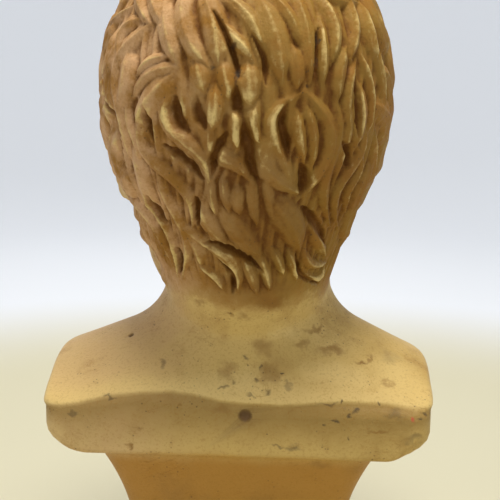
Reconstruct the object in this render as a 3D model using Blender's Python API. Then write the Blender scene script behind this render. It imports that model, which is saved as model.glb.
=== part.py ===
"""A cast plaster bust of a bearded philosopher on its own socle, solid and in one piece.

The middle of the underside is the origin, +Z is up and the chest faces -Y, so the figure's
left is +X. The socle is a loft of outlines. Above it the shoulders, neck and head are a field
of signed distances, and the surface is where a fan of rays from inside the bust leaves it.
The locks of hair are raised on that surface along curved lines.
"""

import bpy
import numpy as np

# Driving sizes in metres
MM = 0.001
SOCLE_HEIGHT = 55.4 * MM
SOCLE_TOP_WIDTH = 83.4 * MM
SOCLE_TOP_DEPTH = 54.0 * MM
WAIST_SHARE = 0.765
WAIST_HEIGHT = 29.0 * MM
BASE_WIDTH = 84.0 * MM
BASE_DEPTH = 62.0 * MM
PLINTH_HEIGHT = 8.0 * MM
PLINTH_EDGE = 1.5 * MM
PLINTH_STEP = 2.5 * MM
SHOULDER_WIDTH = 112.8 * MM
SHOULDER_DEPTH = 64.0 * MM
SHOULDER_EDGE = 13.6 * MM
SHOULDER_TIP_RISE = 10.3 * MM
SHOULDER_SLOPE = 0.41
SHOULDER_SLOPE_RIGHT = 0.53
NECK_WIDTH = 48.4 * MM
HEAD_HEIGHT = 109.0 * MM

# How the head sits on the neck, in degrees
HEAD_TURN = 10.0
HEAD_NOD = 3.0
HEAD_LEAN = -1.5

# Smaller sizes of the body, in metres
SHOULDER_MID_Y = -3.0 * MM
SHOULDER_SLANT = 0.001
RIDGE_WAVE = 3.4 * MM
RIDGE_WAVE_X = 26.0 * MM
RIDGE_WAVE_SPREAD = 16.0 * MM
TIP_DROP_LEFT = 0.6 * MM
TIP_DROP_RIGHT = 1.5 * MM
END_CORNER_LEFT = 13.0 * MM
END_CORNER_RIGHT = 18.0 * MM
END_BULGE = 2.2 * MM
PLAN_CORNER = 5.0 * MM
BACK_CORNER = 1.6 * MM
NECK_FILLET = 11.0 * MM
NECK_X = -2.0 * MM
NECK_Y = -7.0 * MM
HEAD_X = 2.3 * MM
FLOOR_ALLOWANCE = 3.0 * MM

# Places that follow from the sizes
RIDGE_Z = SOCLE_HEIGHT + SHOULDER_EDGE
TIP_Z = RIDGE_Z + SHOULDER_TIP_RISE
NECK_ROOT_Z = TIP_Z + SHOULDER_SLOPE * (SHOULDER_WIDTH - NECK_WIDTH) / 2
HEAD_Z = NECK_ROOT_Z + 0.422 * HEAD_HEIGHT
LIFE_HEAD_HEIGHT = 225.0
SKULL_RADIUS = 95.0
HEAD_SCALE = HEAD_HEIGHT / LIFE_HEAD_HEIGHT
HEAD_CENTRE = np.array([HEAD_X, NECK_Y + 1.0 * MM, HEAD_Z])
CROWN_Z = HEAD_Z + 112.0 * HEAD_SCALE

# The grid of the sculpted surface, and how far it is thinned for the solid
COLUMNS = 300
BODY_ROWS = 60
HEAD_ROWS = 190
SOLID_TRIANGLES = 9600

# The photograph's view of the back, which places the locks there: pixels of its 500 wide frame
VIEW_WIDTH = 500
VIEW_FOCAL = 997.0
VIEW_DISTANCE = 300.0 * MM
VIEW_TURN = 3.0
VIEW_RISE = 10.0
VIEW_ROLL = 0.6
VIEW_TARGET = np.array([-2.1 * MM, 0.0, 110.0 * MM])

# Locks on the back as the photograph shows them: root x, y, tip x, y, bow to the left, sway, width
BACK_LOCKS = {
    "rim left, upper": (134, 4, 101, 72, 11, 0, 12),
    "rim left, middle": (102, 62, 106, 156, 8, 0, 14),
    "rim left, lower": (106, 140, 170, 262, 2, 5, 13),
    "left broad": (150, 22, 128, 158, 22, 6, 21),
    "upper sweep": (168, 56, 136, 78, 6, 0, 9),
    "lower sweep": (178, 66, 132, 100, 10, 0, 12),
    "sweep tail": (131, 92, 140, 168, 3, 3, 10),
    "long curve": (150, 98, 192, 229, 12, 14, 14),
    "inner curve": (172, 84, 203, 201, 2, 15, 13),
    "left strand, outer": (122, 150, 177, 278, -7, 5, 10),
    "left strand, inner": (155, 168, 181, 280, -12, 5, 11),
    "crown far left": (136, -14, 150, 24, 2, 0, 14),
    "crown left": (150, -14, 165, 26, 2, 0, 15),
    "crown flat": (164, -2, 178, 66, 3, 0, 18),
    "crown broad": (184, -14, 210, 68, 12, 0, 17),
    "crown middle": (202, -12, 219, 70, -4, 0, 19),
    "crown arc": (216, -10, 263, 66, -14, 0, 13),
    "hole ridge": (206, 8, 253, 62, 0, 3, 12),
    "crown right": (258, -6, 283, 84, -6, 0, 21),
    "outer arc": (262, -12, 303, 52, -8, 0, 12),
    "arc fill": (292, 44, 298, 88, -2, 0, 15),
    "groove left": (294, -12, 310, 84, -5, 0, 14),
    "groove right": (320, 16, 323, 88, -2, 0, 11),
    "right arc": (318, -8, 331, 66, -11, 0, 13),
    "right fall": (344, -10, 350, 62, -8, 0, 13),
    "right pale": (347, 46, 338, 104, 3, 0, 13),
    "arch outer": (360, 50, 366, 140, -8, 0, 10),
    "arch inner": (357, 58, 350, 144, 6, 0, 10),
    "rim right, top": (372, -8, 391, 92, -10, 0, 14),
    "rim right fill": (374, 40, 381, 120, -4, 0, 12),
    "rim right, middle": (391, 86, 378, 160, -6, 0, 13),
    "rim right, low": (376, 130, 364, 200, -2, 0, 12),
    "rim right, tail": (362, 186, 338, 246, -4, 0, 12),
    "left of slit": (222, 60, 233, 104, 1, 0, 13),
    "right of slit": (248, 62, 251, 106, 1, 0, 17),
    "left plain": (196, 60, 204, 92, 0, 0, 15),
    "curl start": (216, 84, 211, 132, -2, 0, 14),
    "curl": (209, 126, 250, 182, 8, 6, 14),
    "pale drop": (238, 106, 238, 150, 3, 0, 9),
    "short curl": (258, 104, 262, 146, 8, 0, 12),
    "loop left": (304, 91, 292, 194, 24, 8, 13),
    "loop strand, a": (298, 110, 305, 164, 1, 0, 10),
    "loop strand, b": (307, 104, 312, 170, -4, 0, 10),
    "loop right": (303, 89, 296, 203, -32, -3, 15),
    "loop right, inner": (308, 92, 308, 194, -21, -2, 10),
    "right strand, a": (334, 92, 331, 228, 1, -7, 12),
    "right strand, b": (346, 96, 333, 186, -6, -2, 11),
    "right strand, c": (364, 118, 339, 230, 4, -8, 12),
    "right strand, d": (354, 140, 346, 214, -5, -5, 10),
    "low left": (176, 222, 212, 251, -2, 0, 10),
    "tuft": (184, 226, 202, 268, -3, 0, 10),
    "centre rough, a": (238, 184, 240, 216, 2, 0, 13),
    "centre rough, b": (222, 176, 230, 214, 1, 0, 9),
    "centre rough, c": (212, 178, 216, 216, 2, 0, 8),
    "centre rough, d": (252, 176, 257, 226, 2, 0, 11),
    "centre rough, e": (266, 172, 274, 224, 1, 0, 10),
    "nape mass": (222, 208, 262, 258, 2, 0, 20),
    "nape left mass": (198, 206, 226, 244, 2, 0, 16),
    "nape smooth": (270, 196, 300, 252, -5, 0, 24),
    "nape sweep": (204, 246, 239, 294, -12, 0, 13),
    "nape tip": (198, 266, 226, 293, -4, 0, 8),
    "nape drop, a": (226, 258, 239, 292, -2, 0, 9),
    "nape drop, b": (244, 260, 258, 296, -1, 0, 10),
    "nape drop, c": (260, 254, 270, 292, -1, 0, 9),
    "nape drop, d": (272, 248, 284, 276, -1, 0, 9),
    "nape drop, e": (288, 250, 297, 280, -1, 0, 9),
    "right crescent": (304, 250, 327, 262, 9, 0, 9),
    "right crescent, low": (298, 272, 325, 266, 11, 0, 8),
    "right tuft": (318, 216, 326, 256, 4, 0, 14),
}

# Deep hollows between them: root x, y, tip x, y, bow to the left, sway, width
BACK_HOLLOWS = {
    "beside left rim": (112, 38, 122, 156, 8, 3, 8),
    "under lower sweep": (146, 106, 152, 142, 2, 0, 8),
    "inside inner curve": (174, 98, 186, 132, 5, 0, 14),
    "pocket": (196, 96, 204, 128, 3, 0, 11),
    "under inner curve": (162, 146, 202, 180, -3, 0, 9),
    "beside long curve": (195, 198, 197, 226, -1, 0, 7),
    "left dark": (150, 194, 166, 222, 2, 0, 8),
    "left dark, low": (176, 248, 178, 274, -2, 0, 6),
    "under slit": (236, 88, 240, 116, 2, 0, 11),
    "beside crown broad": (214, 12, 240, 78, -3, 0, 6),
    "beside crown arc": (252, 34, 266, 84, -5, 0, 6),
    "centre": (246, 120, 256, 178, 2, 0, 13),
    "centre left": (226, 134, 212, 176, 4, 0, 9),
    "loop hollow": (288, 103, 288, 160, 5, 2, 11),
    "loop foot": (302, 166, 301, 196, -4, 0, 11),
    "right arch hollow": (357, 76, 357, 136, 0, 0, 7),
    "right dark": (342, 142, 348, 166, -3, 0, 10),
    "right groove": (318, 28, 316, 72, 0, 0, 4),
    "under smooth": (302, 208, 326, 244, -3, 0, 10),
    "nape crease": (206, 242, 262, 270, -3, 0, 7),
    "nape curl": (220, 262, 232, 294, -7, 0, 7),
    "nape right": (296, 256, 320, 284, 8, 0, 7),
}

# How the locks are raised, in millimetres of a life-size head
LOCK_HEIGHT = 3.9
LOCK_HOLLOW = 2.2
HOLLOW_DEPTH = 3.6
LOCK_STEPS = 13
LOCK_OVERLAP = 1.42
LOCK_BLEND = 0.9
STRANDS = 3.0
CROWN_TURN = 178.0
CROWN_RISE = 56.0
RING_GAP = 17.0
SEEDED_LOCK_WIDTH = 11.5
SEEDED_LOCK_LENGTH = 36.0
BEARD_LOCK_LENGTH = 25.0
BEARD_LOCK_WIDTH = 9.5
BEARD_THICKNESS = 2.0
BEARD_REACH = 108.0
BEARD_SPREAD = 82.0
MOUSTACHE_STRAND_WIDTH = 6.5
BEARD_EAR_Y = -10.0
BEARD_EAR_Z = -12.0
BEARD_LINE_SLOPE = 0.74
NAPE_END = -97.0
NAPE_FULL = -72.0
SEED = 11

PLASTER_COLOUR = (0.62, 0.43, 0.22, 1.0)
PLASTER_ROUGHNESS = 0.5


def turn_matrix(axis, degrees):
    """Rotation about one of the three axes, by the right-hand rule."""
    angle = np.radians(degrees)
    matrix = np.eye(3)
    i, j = (axis + 1) % 3, (axis + 2) % 3
    matrix[i, i] = matrix[j, j] = np.cos(angle)
    matrix[i, j], matrix[j, i] = -np.sin(angle), np.sin(angle)
    return matrix


HEAD_POSE = turn_matrix(2, HEAD_TURN) @ turn_matrix(0, HEAD_NOD) @ turn_matrix(1, HEAD_LEAN)


def smooth_step(low, high, value):
    share = np.clip((value - low) / (high - low), 0.0, 1.0)
    return share * share * (3.0 - 2.0 * share)


def smooth_min(a, b, blend):
    """The lesser of two fields, with a fillet about blend wide where they are near."""
    share = np.clip(0.5 + 0.5 * (b - a) / blend, 0.0, 1.0)
    return b + (a - b) * share - blend * share * (1.0 - share)


def smooth_max(a, b, blend):
    return -smooth_min(-a, -b, blend)


def unit(v):
    return v / np.linalg.norm(v, axis=-1, keepdims=True)


def egg(q, centre, radii, power=2.0):
    """Distance to an ellipsoid, or to a squarer one where power is over 2."""
    share = np.abs(q - np.array(centre)) / np.array(radii) + 1e-9
    gauge = (share**power).sum(-1) ** (1.0 / power)
    steep = gauge ** (1.0 - power) * np.sqrt(((share ** (power - 1.0) / np.array(radii)) ** 2).sum(-1))
    return (gauge - 1.0) / steep


def limb(q, start, end, start_radius, end_radius):
    """Distance to a round bar from start to end that tapers evenly."""
    start, end = np.array(start), np.array(end)
    axis = end - start
    along = np.clip(((q - start) @ axis) / (axis @ axis), 0.0, 1.0)
    gap = np.linalg.norm(q - start - along[..., None] * axis, axis=-1)
    return gap - (start_radius + (end_radius - start_radius) * along)


def mirrored(q):
    """The point with its left-right place made positive, so that one shape serves both sides."""
    m = q.copy()
    m[..., 0] = np.abs(q[..., 0])
    return m


def shoulder_top(x, y):
    """Height of the shoulders' upper side: a crest between the tips that falls to the back ridge."""
    to_left = smooth_step(-20 * MM, 20 * MM, x)
    slope = SHOULDER_SLOPE_RIGHT + (SHOULDER_SLOPE - SHOULDER_SLOPE_RIGHT) * to_left
    drop = TIP_DROP_RIGHT + (TIP_DROP_LEFT - TIP_DROP_RIGHT) * to_left
    crest = TIP_Z - drop + slope * (SHOULDER_WIDTH / 2 - np.sqrt(x**2 + (4 * MM) ** 2))
    wave = RIDGE_WAVE * np.exp(-(((x - RIDGE_WAVE_X) / RIDGE_WAVE_SPREAD) ** 2))
    half = SHOULDER_DEPTH / 2
    back = np.clip((y - SHOULDER_MID_Y) / half, 0.0, 1.3)
    front = np.clip((SHOULDER_MID_Y - y) / half, 0.0, 1.3)
    ridge = RIDGE_Z + wave
    brow = RIDGE_Z + 2 * MM
    return crest - (crest - ridge) * back**1.6 - (crest - brow) * front**1.8


def body_field(p):
    """Distance to the shoulders, chest and neck."""
    x, y, z = p[..., 0], p[..., 1], p[..., 2]
    share = (y - SHOULDER_MID_Y) / (SHOULDER_DEPTH / 2)
    ends = np.abs(x) - SHOULDER_WIDTH / 2 + END_BULGE * share**2
    front_and_back = (np.abs(share) - 1.0) * SHOULDER_DEPTH / 2
    plan_corner = np.interp(y, (-20 * MM, 10 * MM), (4 * PLAN_CORNER, PLAN_CORNER))
    sides = smooth_max(ends, front_and_back, plan_corner)
    top = 0.88 * (z - shoulder_top(x, y))
    edge = np.interp(y, (-30 * MM, -8 * MM, 8 * MM), (9 * MM, 3 * MM, BACK_CORNER))
    field = smooth_max(sides, top, edge)
    m = mirrored(p)
    breast_z = SOCLE_HEIGHT + 0.78 * SHOULDER_EDGE
    field = smooth_min(field, egg(m, (0.022, -0.027, breast_z), (0.021, 0.010, 0.012)), 8 * MM)
    collar_z = TIP_Z + 1 * MM
    collar = limb(m, (0.006, -0.028, collar_z), (0.034, -0.018, collar_z - 3.5 * MM), 2.5 * MM, 2.5 * MM)
    field = smooth_min(field, collar, 5 * MM)
    foot = (0, NECK_Y, NECK_ROOT_Z - 20 * MM)
    head = (NECK_X, NECK_Y + 1 * MM, HEAD_Z - 20 * MM)
    neck = limb(p, foot, head, NECK_WIDTH / 2, NECK_WIDTH / 2)
    return smooth_min(field, neck, NECK_FILLET)


def skin_field(q):
    """Distance to the bare head and face, in millimetres of a life-size head."""
    m = mirrored(q)
    skin = smooth_min(egg(q, (0, 8, 32), (73, 93, 80)), egg(q, (0, -36, -36), (52, 53, 74)), 22)
    skin = smooth_min(skin, limb(m, (38, -18, -54), (14, -68, -95), 11, 12), 14)
    skin = smooth_min(skin, egg(q, (0, -78, -96), (18, 13, 13)), 10)
    skin = smooth_min(skin, egg(m, (40, -62, -27), (18, 14, 12)), 12)
    skin = smooth_min(skin, limb(m, (9, -85, 14), (42, -71, 14), 7.5, 6.5), 9)
    skin = smooth_max(skin, -egg(m, (31, -87, -2), (20, 15, 12)), 8)
    lid = egg(m, (31, -64, -2), (14.4, 14.4, 14.4))
    upper = -2 + 4.4 - 0.020 * (m[..., 0] - 30) ** 2
    lower = -2 - 4.2 + 0.016 * (m[..., 0] - 30) ** 2
    opening = np.maximum(q[..., 2] - upper, lower - q[..., 2])
    skin = smooth_min(skin, smooth_max(lid, -opening, 1.0), 3)
    skin = smooth_min(skin, egg(m, (31, -64, -2), (12.6, 12.6, 12.6)), 0.6)
    skin = smooth_min(skin, limb(q, (0, -84, 9), (0, -99, -34), 5.5, 7.5), 7)
    skin = smooth_min(skin, egg(q, (0, -101, -36), (8.5, 8, 7.5)), 5)
    skin = smooth_min(skin, egg(m, (12, -94, -38), (6.5, 8, 7)), 5)
    skin = smooth_max(skin, -egg(m, (7, -98, -45.5), (3.5, 5, 3)), 2)
    skin = smooth_min(skin, egg(q, (0, -72, -66), (27, 20, 22)), 12)
    skin = smooth_min(skin, limb(m, (2, -93, -66), (19, -84, -69), 5, 3), 4)
    skin = smooth_min(skin, limb(m, (0, -91, -76), (15, -84, -74), 5.6, 3.6), 4)
    skin = smooth_max(skin, -egg(q, (0, -99, -70.5), (21, 8, 1.5)), 1.6)
    ear = turn_matrix(0, 10) @ turn_matrix(2, 14)
    e = (m - np.array([66, -1, -6])) @ ear
    shell = smooth_max(egg(e, (0, 0, 0), (6.5, 15, 25)), -egg(e, (6.5, -3, 1), (6, 8.5, 16)), 3)
    return smooth_min(skin, shell, 4)


def hair_field(q):
    """Distance to the mass of hair under its locks."""
    m = mirrored(q)
    hair = egg(q, (-1.5, 13, 38), (83.8, 96.6, 85.6), 2.3)
    hair = smooth_min(hair, limb(q, (-4, 20, -6), (-9.5, 3, -100), 71.5, 45.5), 14)
    hair = smooth_min(hair, egg(q, (45, 12, -40), (16, 24, 20)), 8)
    hairline = -0.92 * (q[..., 1] + 42 + 0.42 * (q[..., 2] - 20))
    hair = smooth_max(hair, hairline, 6)
    return smooth_max(hair, -egg(m, (83, -6, -12), (17, 18, 28)), 5)


def beard_field(q):
    """Distance to the mass of the beard and the moustache under their locks: the skin of the jaw made
    thicker below a line from ear to lip, with a fuller chin."""
    m = mirrored(q)
    line = 0.81 * (q[..., 2] - BEARD_EAR_Z - BEARD_LINE_SLOPE * (q[..., 1] - BEARD_EAR_Y))
    edge = smooth_max(line, q[..., 1] - BEARD_EAR_Y - 6.0, 5.0)
    beard = smooth_max(skin_field(q) - BEARD_THICKNESS, edge, 4.0)
    beard = smooth_min(beard, egg(q, (0, -70, -98), (29, 29, 28)), 12)
    beard = smooth_max(beard, -egg(q, (0, -106, -72), (19, 17, 8.5)), 5)
    moustache = smooth_min(
        limb(m, (4, -95, -56), (26, -85, -69), 6, 5.5),
        limb(m, (26, -85, -69), (33, -74, -88), 5.5, 6),
        4,
    )
    return smooth_min(beard, moustache, 4)


def to_head(p):
    return (p - HEAD_CENTRE) @ HEAD_POSE / HEAD_SCALE


def from_head(q):
    return q * HEAD_SCALE @ HEAD_POSE.T + HEAD_CENTRE


def head_field(q):
    """Distance to the whole head under its locks, in millimetres of a life-size head."""
    return smooth_min(smooth_min(skin_field(q), hair_field(q), 2.5), beard_field(q), 2.5)


def bust_field(p):
    """Distance to the smooth bust above the socle, in metres."""
    return smooth_min(body_field(p), HEAD_SCALE * head_field(to_head(p)), 1.5 * MM)


def walk_in(start, direction, far, steps):
    """How far along rays the smooth bust ends, walking back in from far beyond it, or out from 0."""
    for _ in range(steps):
        far = far - 0.85 * bust_field(start + far[..., None] * direction)
    return np.maximum(far, 0.0)


# The fan of rays, a row at a time: share of the way up the bust, start out from the middle, level,
# reach in shoulder widths or 0 to walk outward, and rise in degrees at the back, side and front
FAN = np.array([
    (0.00, 0.55, 0.21, 0.00, 0, 0, 0),
    (0.04, 0.55, 0.22, 0.00, 16, 24, 6),
    (0.09, 0.50, 0.24, 0.00, 26, 46, 12),
    (0.14, 0.42, 0.28, 0.00, 42, 55, 14),
    (0.20, 0.30, 0.42, 0.00, 46, 50, 6),
    (0.25, 0.15, 0.70, 0.00, 30, 36, -4),
    (0.28, 0.08, 0.90, 0.00, 16, 20, -14),
    (0.31, 0.00, 1.10, 0.00, 3, 4, -23),
    (0.40, 0.00, 1.31, 1.10, 4, 2, -28),
    (0.50, 0.00, 1.53, 1.10, 0, -3, -28),
    (0.60, 0.00, 1.77, 1.10, -2, -4, -24),
    (0.70, 0.00, 2.00, 1.10, 2, -2, -18),
    (0.77, 0.00, 2.12, 1.10, 12, 8, -8),
    (0.84, 0.00, 2.20, 1.10, 30, 26, 12),
    (0.92, 0.00, 2.24, 1.10, 58, 55, 48),
    (1.00, 0.00, 2.26, 1.10, 90, 90, 90),
])
FAN_LEVELS = (SOCLE_HEIGHT, NECK_ROOT_Z, HEAD_Z, CROWN_Z)
FAN_NECK = 0.31


def fan_rays(up, around):
    """Start, direction and reach of each ray, for shares up the bust and angles around it."""
    up, around = np.meshgrid(up, around, indexing="ij")
    out, level, reach, back, side, front = (np.interp(up, FAN[:, 0], column) for column in FAN[:, 1:].T)
    ends = np.sin(around)
    rise = np.radians(side + (np.where(ends > 0, back, front) - side) * ends**2)
    turned = around + np.radians(HEAD_TURN) * smooth_step(FAN_NECK - 0.04, FAN_NECK + 0.06, up)
    on_neck = smooth_step(0.18, FAN_NECK, up)
    start = np.stack([
        out * SHOULDER_WIDTH / 2 * np.cos(around) + on_neck * NECK_X,
        out * SHOULDER_DEPTH / 2 * ends + SHOULDER_MID_Y + on_neck * (NECK_Y - SHOULDER_MID_Y),
        np.interp(level, range(len(FAN_LEVELS)), FAN_LEVELS),
    ], -1)
    direction = np.stack([np.cos(turned) * np.cos(rise), np.sin(turned) * np.cos(rise), np.sin(rise)], -1)
    return start, direction, reach * SHOULDER_WIDTH


def smooth_surface(up, columns, skip=4):
    """Rows of points of the smooth bust: a coarse walk on every few rays, then a short one on all."""
    around = np.linspace(0, 2 * np.pi, columns, endpoint=False)
    some_up = np.interp(np.linspace(0, 1, len(up) // skip + 2), np.linspace(0, 1, len(up)), up)
    some_around = around[::skip]
    far = walk_in(*fan_rays(some_up, some_around), 45)
    wrapped = np.append(some_around, 2 * np.pi)
    far = np.array([np.interp(around, wrapped, np.append(row, row[0])) for row in far])
    far = np.array([np.interp(up, some_up, column) for column in far.T]).T
    start, direction, _ = fan_rays(up, around)
    far = walk_in(start, direction, far + 1.0 * MM, 9)
    points = start + far[..., None] * direction
    points[-1] = points[-1].mean(0)
    return points


def even_rows(body_rows, head_rows):
    """Shares up the bust that space the rows evenly over the body, and more closely over the head."""
    up = np.linspace(0.0, 1.0, 240)
    surface = smooth_surface(up, 24, 2)
    run = np.linalg.norm(np.diff(surface, axis=0), axis=-1).mean(1)
    run = np.concatenate([[0.0], np.cumsum(run)])
    at_neck = np.interp(FAN_NECK, up, run)
    body = np.linspace(0.0, at_neck, body_rows, endpoint=False)
    head = np.linspace(at_neck, run[-1], head_rows)
    return np.interp(np.concatenate([body, head]), run, up)


def grid_normals(points):
    """Outward normals of the rows of points that close round the bust."""
    along = np.roll(points, -1, 1) - np.roll(points, 1, 1)
    up = np.gradient(points, axis=0)
    normal = np.cross(along, up)
    normal[-1] = (0, 0, 1)
    return normal / np.maximum(np.linalg.norm(normal, axis=-1, keepdims=True), 1e-12)


def field_normals(points):
    """Outward directions of the smooth bust's field."""
    step = 0.3 * MM
    slopes = [bust_field(points + shift) - bust_field(points - shift) for shift in step * np.eye(3)]
    return unit(np.stack(slopes, -1) + 1e-12)


def view_axes():
    """The photograph's directions across and up, and the one from the bust back to the eye."""
    turn, rise, roll = np.radians(VIEW_TURN), np.radians(VIEW_RISE), np.radians(VIEW_ROLL)
    back = np.array([-np.sin(turn) * np.cos(rise), np.cos(turn) * np.cos(rise), np.sin(rise)])
    right = unit(np.cross([0, 0, 1], back))
    level_up = np.cross(back, right)
    across = right * np.cos(roll) + level_up * np.sin(roll)
    return across, level_up * np.cos(roll) - right * np.sin(roll), back


def seen_from_back(x, y):
    """Points of the smooth bust at places of the photograph."""
    across, upward, back = view_axes()
    eye = VIEW_TARGET + VIEW_DISTANCE * back
    shift_x = ((x - VIEW_WIDTH / 2) / VIEW_FOCAL)[..., None]
    shift_y = ((VIEW_WIDTH / 2 - y) / VIEW_FOCAL)[..., None]
    ray = unit(shift_x * across + shift_y * upward - back)
    reach = np.full(x.shape, 0.72 * VIEW_DISTANCE)
    for _ in range(40):
        reach = reach + 0.85 * bust_field(eye + reach[..., None] * ray)
    points = eye + np.minimum(reach, 1.05 * VIEW_DISTANCE)[..., None] * ray
    for _ in range(3):
        points = points - bust_field(points)[..., None] * field_normals(points)
    return points


def bowed(root_x, root_y, tip_x, tip_y, bow, sway):
    """A curve from root to tip in photograph pixels that bows to its left as seen, or sways
    to the left and then to the right."""
    share = np.linspace(0.0, 1.0, LOCK_STEPS)
    run_x, run_y = tip_x - root_x, tip_y - root_y
    length = np.hypot(run_x, run_y)
    swell = bow * np.sin(np.pi * share) + sway * np.sin(2 * np.pi * share)
    return (
        root_x + run_x * share - swell * run_y / length,
        root_y + run_y * share + swell * run_x / length,
    )


def placed_on_back(strokes):
    """Paths in metres and widths in life-size millimetres of strokes placed by the photograph."""
    places = np.array([bowed(*stroke[:6]) for stroke in strokes.values()])
    widths = [stroke[6] * 0.9 * VIEW_DISTANCE / VIEW_FOCAL / HEAD_SCALE for stroke in strokes.values()]
    return list(seen_from_back(places[:, 0], places[:, 1])), widths


def on_head(direction):
    """Points of the smooth head in directions from the middle of the skull."""
    middle = np.array([0.0, 8.0, 30.0])
    far = np.full(direction.shape[:-1], 165.0)
    for _ in range(40):
        far = far - 0.85 * head_field(middle + far[..., None] * direction)
    return from_head(middle + far[..., None] * direction)


def crown_locks(random):
    """Locks that fall from the crown in rings, for the top, the sides and the brow."""
    turn, rise = np.radians(CROWN_TURN), np.radians(CROWN_RISE)
    crown = np.array([-np.sin(turn) * np.cos(rise), -np.cos(turn) * np.cos(rise), np.sin(rise)])
    side = unit(np.cross([0, 0, 1], crown))
    ahead = np.cross(crown, side)
    share = np.linspace(0.0, 1.0, LOCK_STEPS)
    directions, widths = [], []
    for ring in range(1, 11):
        away = RING_GAP * ring / SKULL_RADIUS
        circle = 2 * np.pi * SKULL_RADIUS * np.sin(min(away, 1.7))
        count = max(6, int(circle / SEEDED_LOCK_WIDTH / 1.12))
        for k in range(count):
            angle = 2 * np.pi * (k + 0.5 * (ring % 2) + random.uniform(-0.2, 0.2)) / count
            swirl, bow = random.uniform(-0.55, 0.55), random.uniform(-0.16, 0.16)
            length = SEEDED_LOCK_LENGTH * random.uniform(0.85, 1.25) / SKULL_RADIUS
            far = away - 0.35 * length + length * share
            bend = swirl * length * share + bow * np.sin(np.pi * share)
            bend = angle + bend / max(np.sin(min(away, 1.5)), 0.3)
            around = np.cos(bend)[:, None] * side + np.sin(bend)[:, None] * ahead
            directions.append(np.cos(far)[:, None] * crown + np.sin(far)[:, None] * around)
            widths.append(SEEDED_LOCK_WIDTH * random.uniform(0.85, 1.2))
    return directions, widths


def towards(turn, rise):
    """Directions turned from the face's front to its left and raised, both in radians."""
    return np.stack([np.sin(turn) * np.cos(rise), -np.cos(turn) * np.cos(rise), np.sin(rise)], -1)


def beard_locks(random):
    """Short curling locks in rows over the jaw and chin, and three strands to each side of the lip."""
    share = np.linspace(0.0, 1.0, LOCK_STEPS)
    directions, widths = [], []
    for row, drop in enumerate(range(-30, -84, -7)):
        around = BEARD_REACH * np.cos(np.radians(drop))
        count = int(2 * np.radians(BEARD_SPREAD) * around / (1.1 * BEARD_LOCK_WIDTH))
        for k in range(count):
            turn = BEARD_SPREAD * (2 * (k + 0.5 * (row % 2)) / (count - 0.5) - 1)
            turn_share = 1.0 / max(np.cos(np.radians(drop)), 0.35)
            hook = turn_share * (random.uniform(-6, 6) - 0.05 * turn)
            curl = turn_share * (3.5 if k % 2 else -3.5) * np.sin(2 * np.pi * share)
            fall = np.radians(drop - 0.6 * BEARD_LOCK_LENGTH * random.uniform(0.85, 1.15) * share)
            sway = np.radians(turn + hook * share + curl)
            directions.append(towards(sway, fall))
            widths.append(BEARD_LOCK_WIDTH * random.uniform(0.85, 1.2))
    for side in (-1, 1):
        for strand in range(3):
            sway = np.radians(side * (1.5 + (19.5 + 2 * strand) * share**1.1))
            fall = np.radians(-38.0 - 2.2 * strand - (15.0 - 1.5 * strand) * share**1.7)
            directions.append(towards(sway, fall))
            widths.append(MOUSTACHE_STRAND_WIDTH)
    return directions, widths


def beside_path(p, n, path, half):
    """Where points with normals n lie by a path: the share along it, and the distance and the signed
    offset from it, both measured along the surface."""
    best = np.full(len(p), 1e9)
    place, offset = np.zeros(len(p)), np.zeros(len(p))
    for k in range(len(path) - 1):
        step = path[k + 1] - path[k]
        share = np.clip((p - path[k]) @ step / (step @ step), 0.0, 1.0)
        gap = p - path[k] - share[:, None] * step
        depth = (gap * n).sum(1)
        distance = np.sqrt(np.maximum((gap**2).sum(1) - depth**2, 0.0)) + 1e3 * (np.abs(depth) > 3 * half)
        turned = (gap * np.cross(n, step)).sum(1)
        closer = distance < best
        best = np.where(closer, distance, best)
        place = np.where(closer, (k + share) / (len(path) - 1), place)
        offset = np.where(closer, distance * np.sign(turned), offset)
    return place, best, offset


def near_path(flat, path, margin):
    """Which of the points lie within a margin of a path's whole reach."""
    middle = path.mean(0)
    reach = np.linalg.norm(path - middle, axis=1).max() + margin
    return np.flatnonzero(((flat - middle) ** 2).sum(1) < reach**2)


def raised_locks(points, normals, paths, widths, lock_height=LOCK_HEIGHT, strands=0.0):
    """Height in life-size millimetres of the locks over the points. Each is a ridge that falls off
    as a parabola, so neighbours meet in creases; it rises from its root and narrows to its tip."""
    out = np.full(points.shape[0] * points.shape[1], -LOCK_HOLLOW)
    flat, facing = points.reshape(-1, 3), normals.reshape(-1, 3)
    for path, width in zip(paths, widths):
        half = 0.5 * LOCK_OVERLAP * width * HEAD_SCALE
        near = near_path(flat, path, 1.6 * half)
        if not len(near):
            continue
        place, distance, offset = beside_path(flat[near], facing[near], path, half)
        belly = half * np.interp(place, (0, 0.15, 0.4, 0.75, 1.0), (0.55, 0.85, 1.0, 0.8, 0.3))
        size = min(1.15, max(0.75, width / 12.0))
        crest = lock_height * size * np.interp(place, (0, 0.2, 0.5, 0.8, 1.0), (-0.1, 0.75, 1.0, 0.85, 0.0))
        side = distance / belly
        fall = np.where(side < 1.0, 0.75 * side**2, 1.5 * side - 0.75)
        across = np.clip(offset / belly, -1.0, 1.0)
        groove = strands * (0.5 - 0.5 * np.cos(STRANDS * np.pi * across)) * (1.0 - across**2)
        value = crest - (LOCK_HOLLOW + lock_height * size) * fall - groove
        out[near] = smooth_max(out[near], value, LOCK_BLEND)
    return out.reshape(points.shape[:-1])


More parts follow.
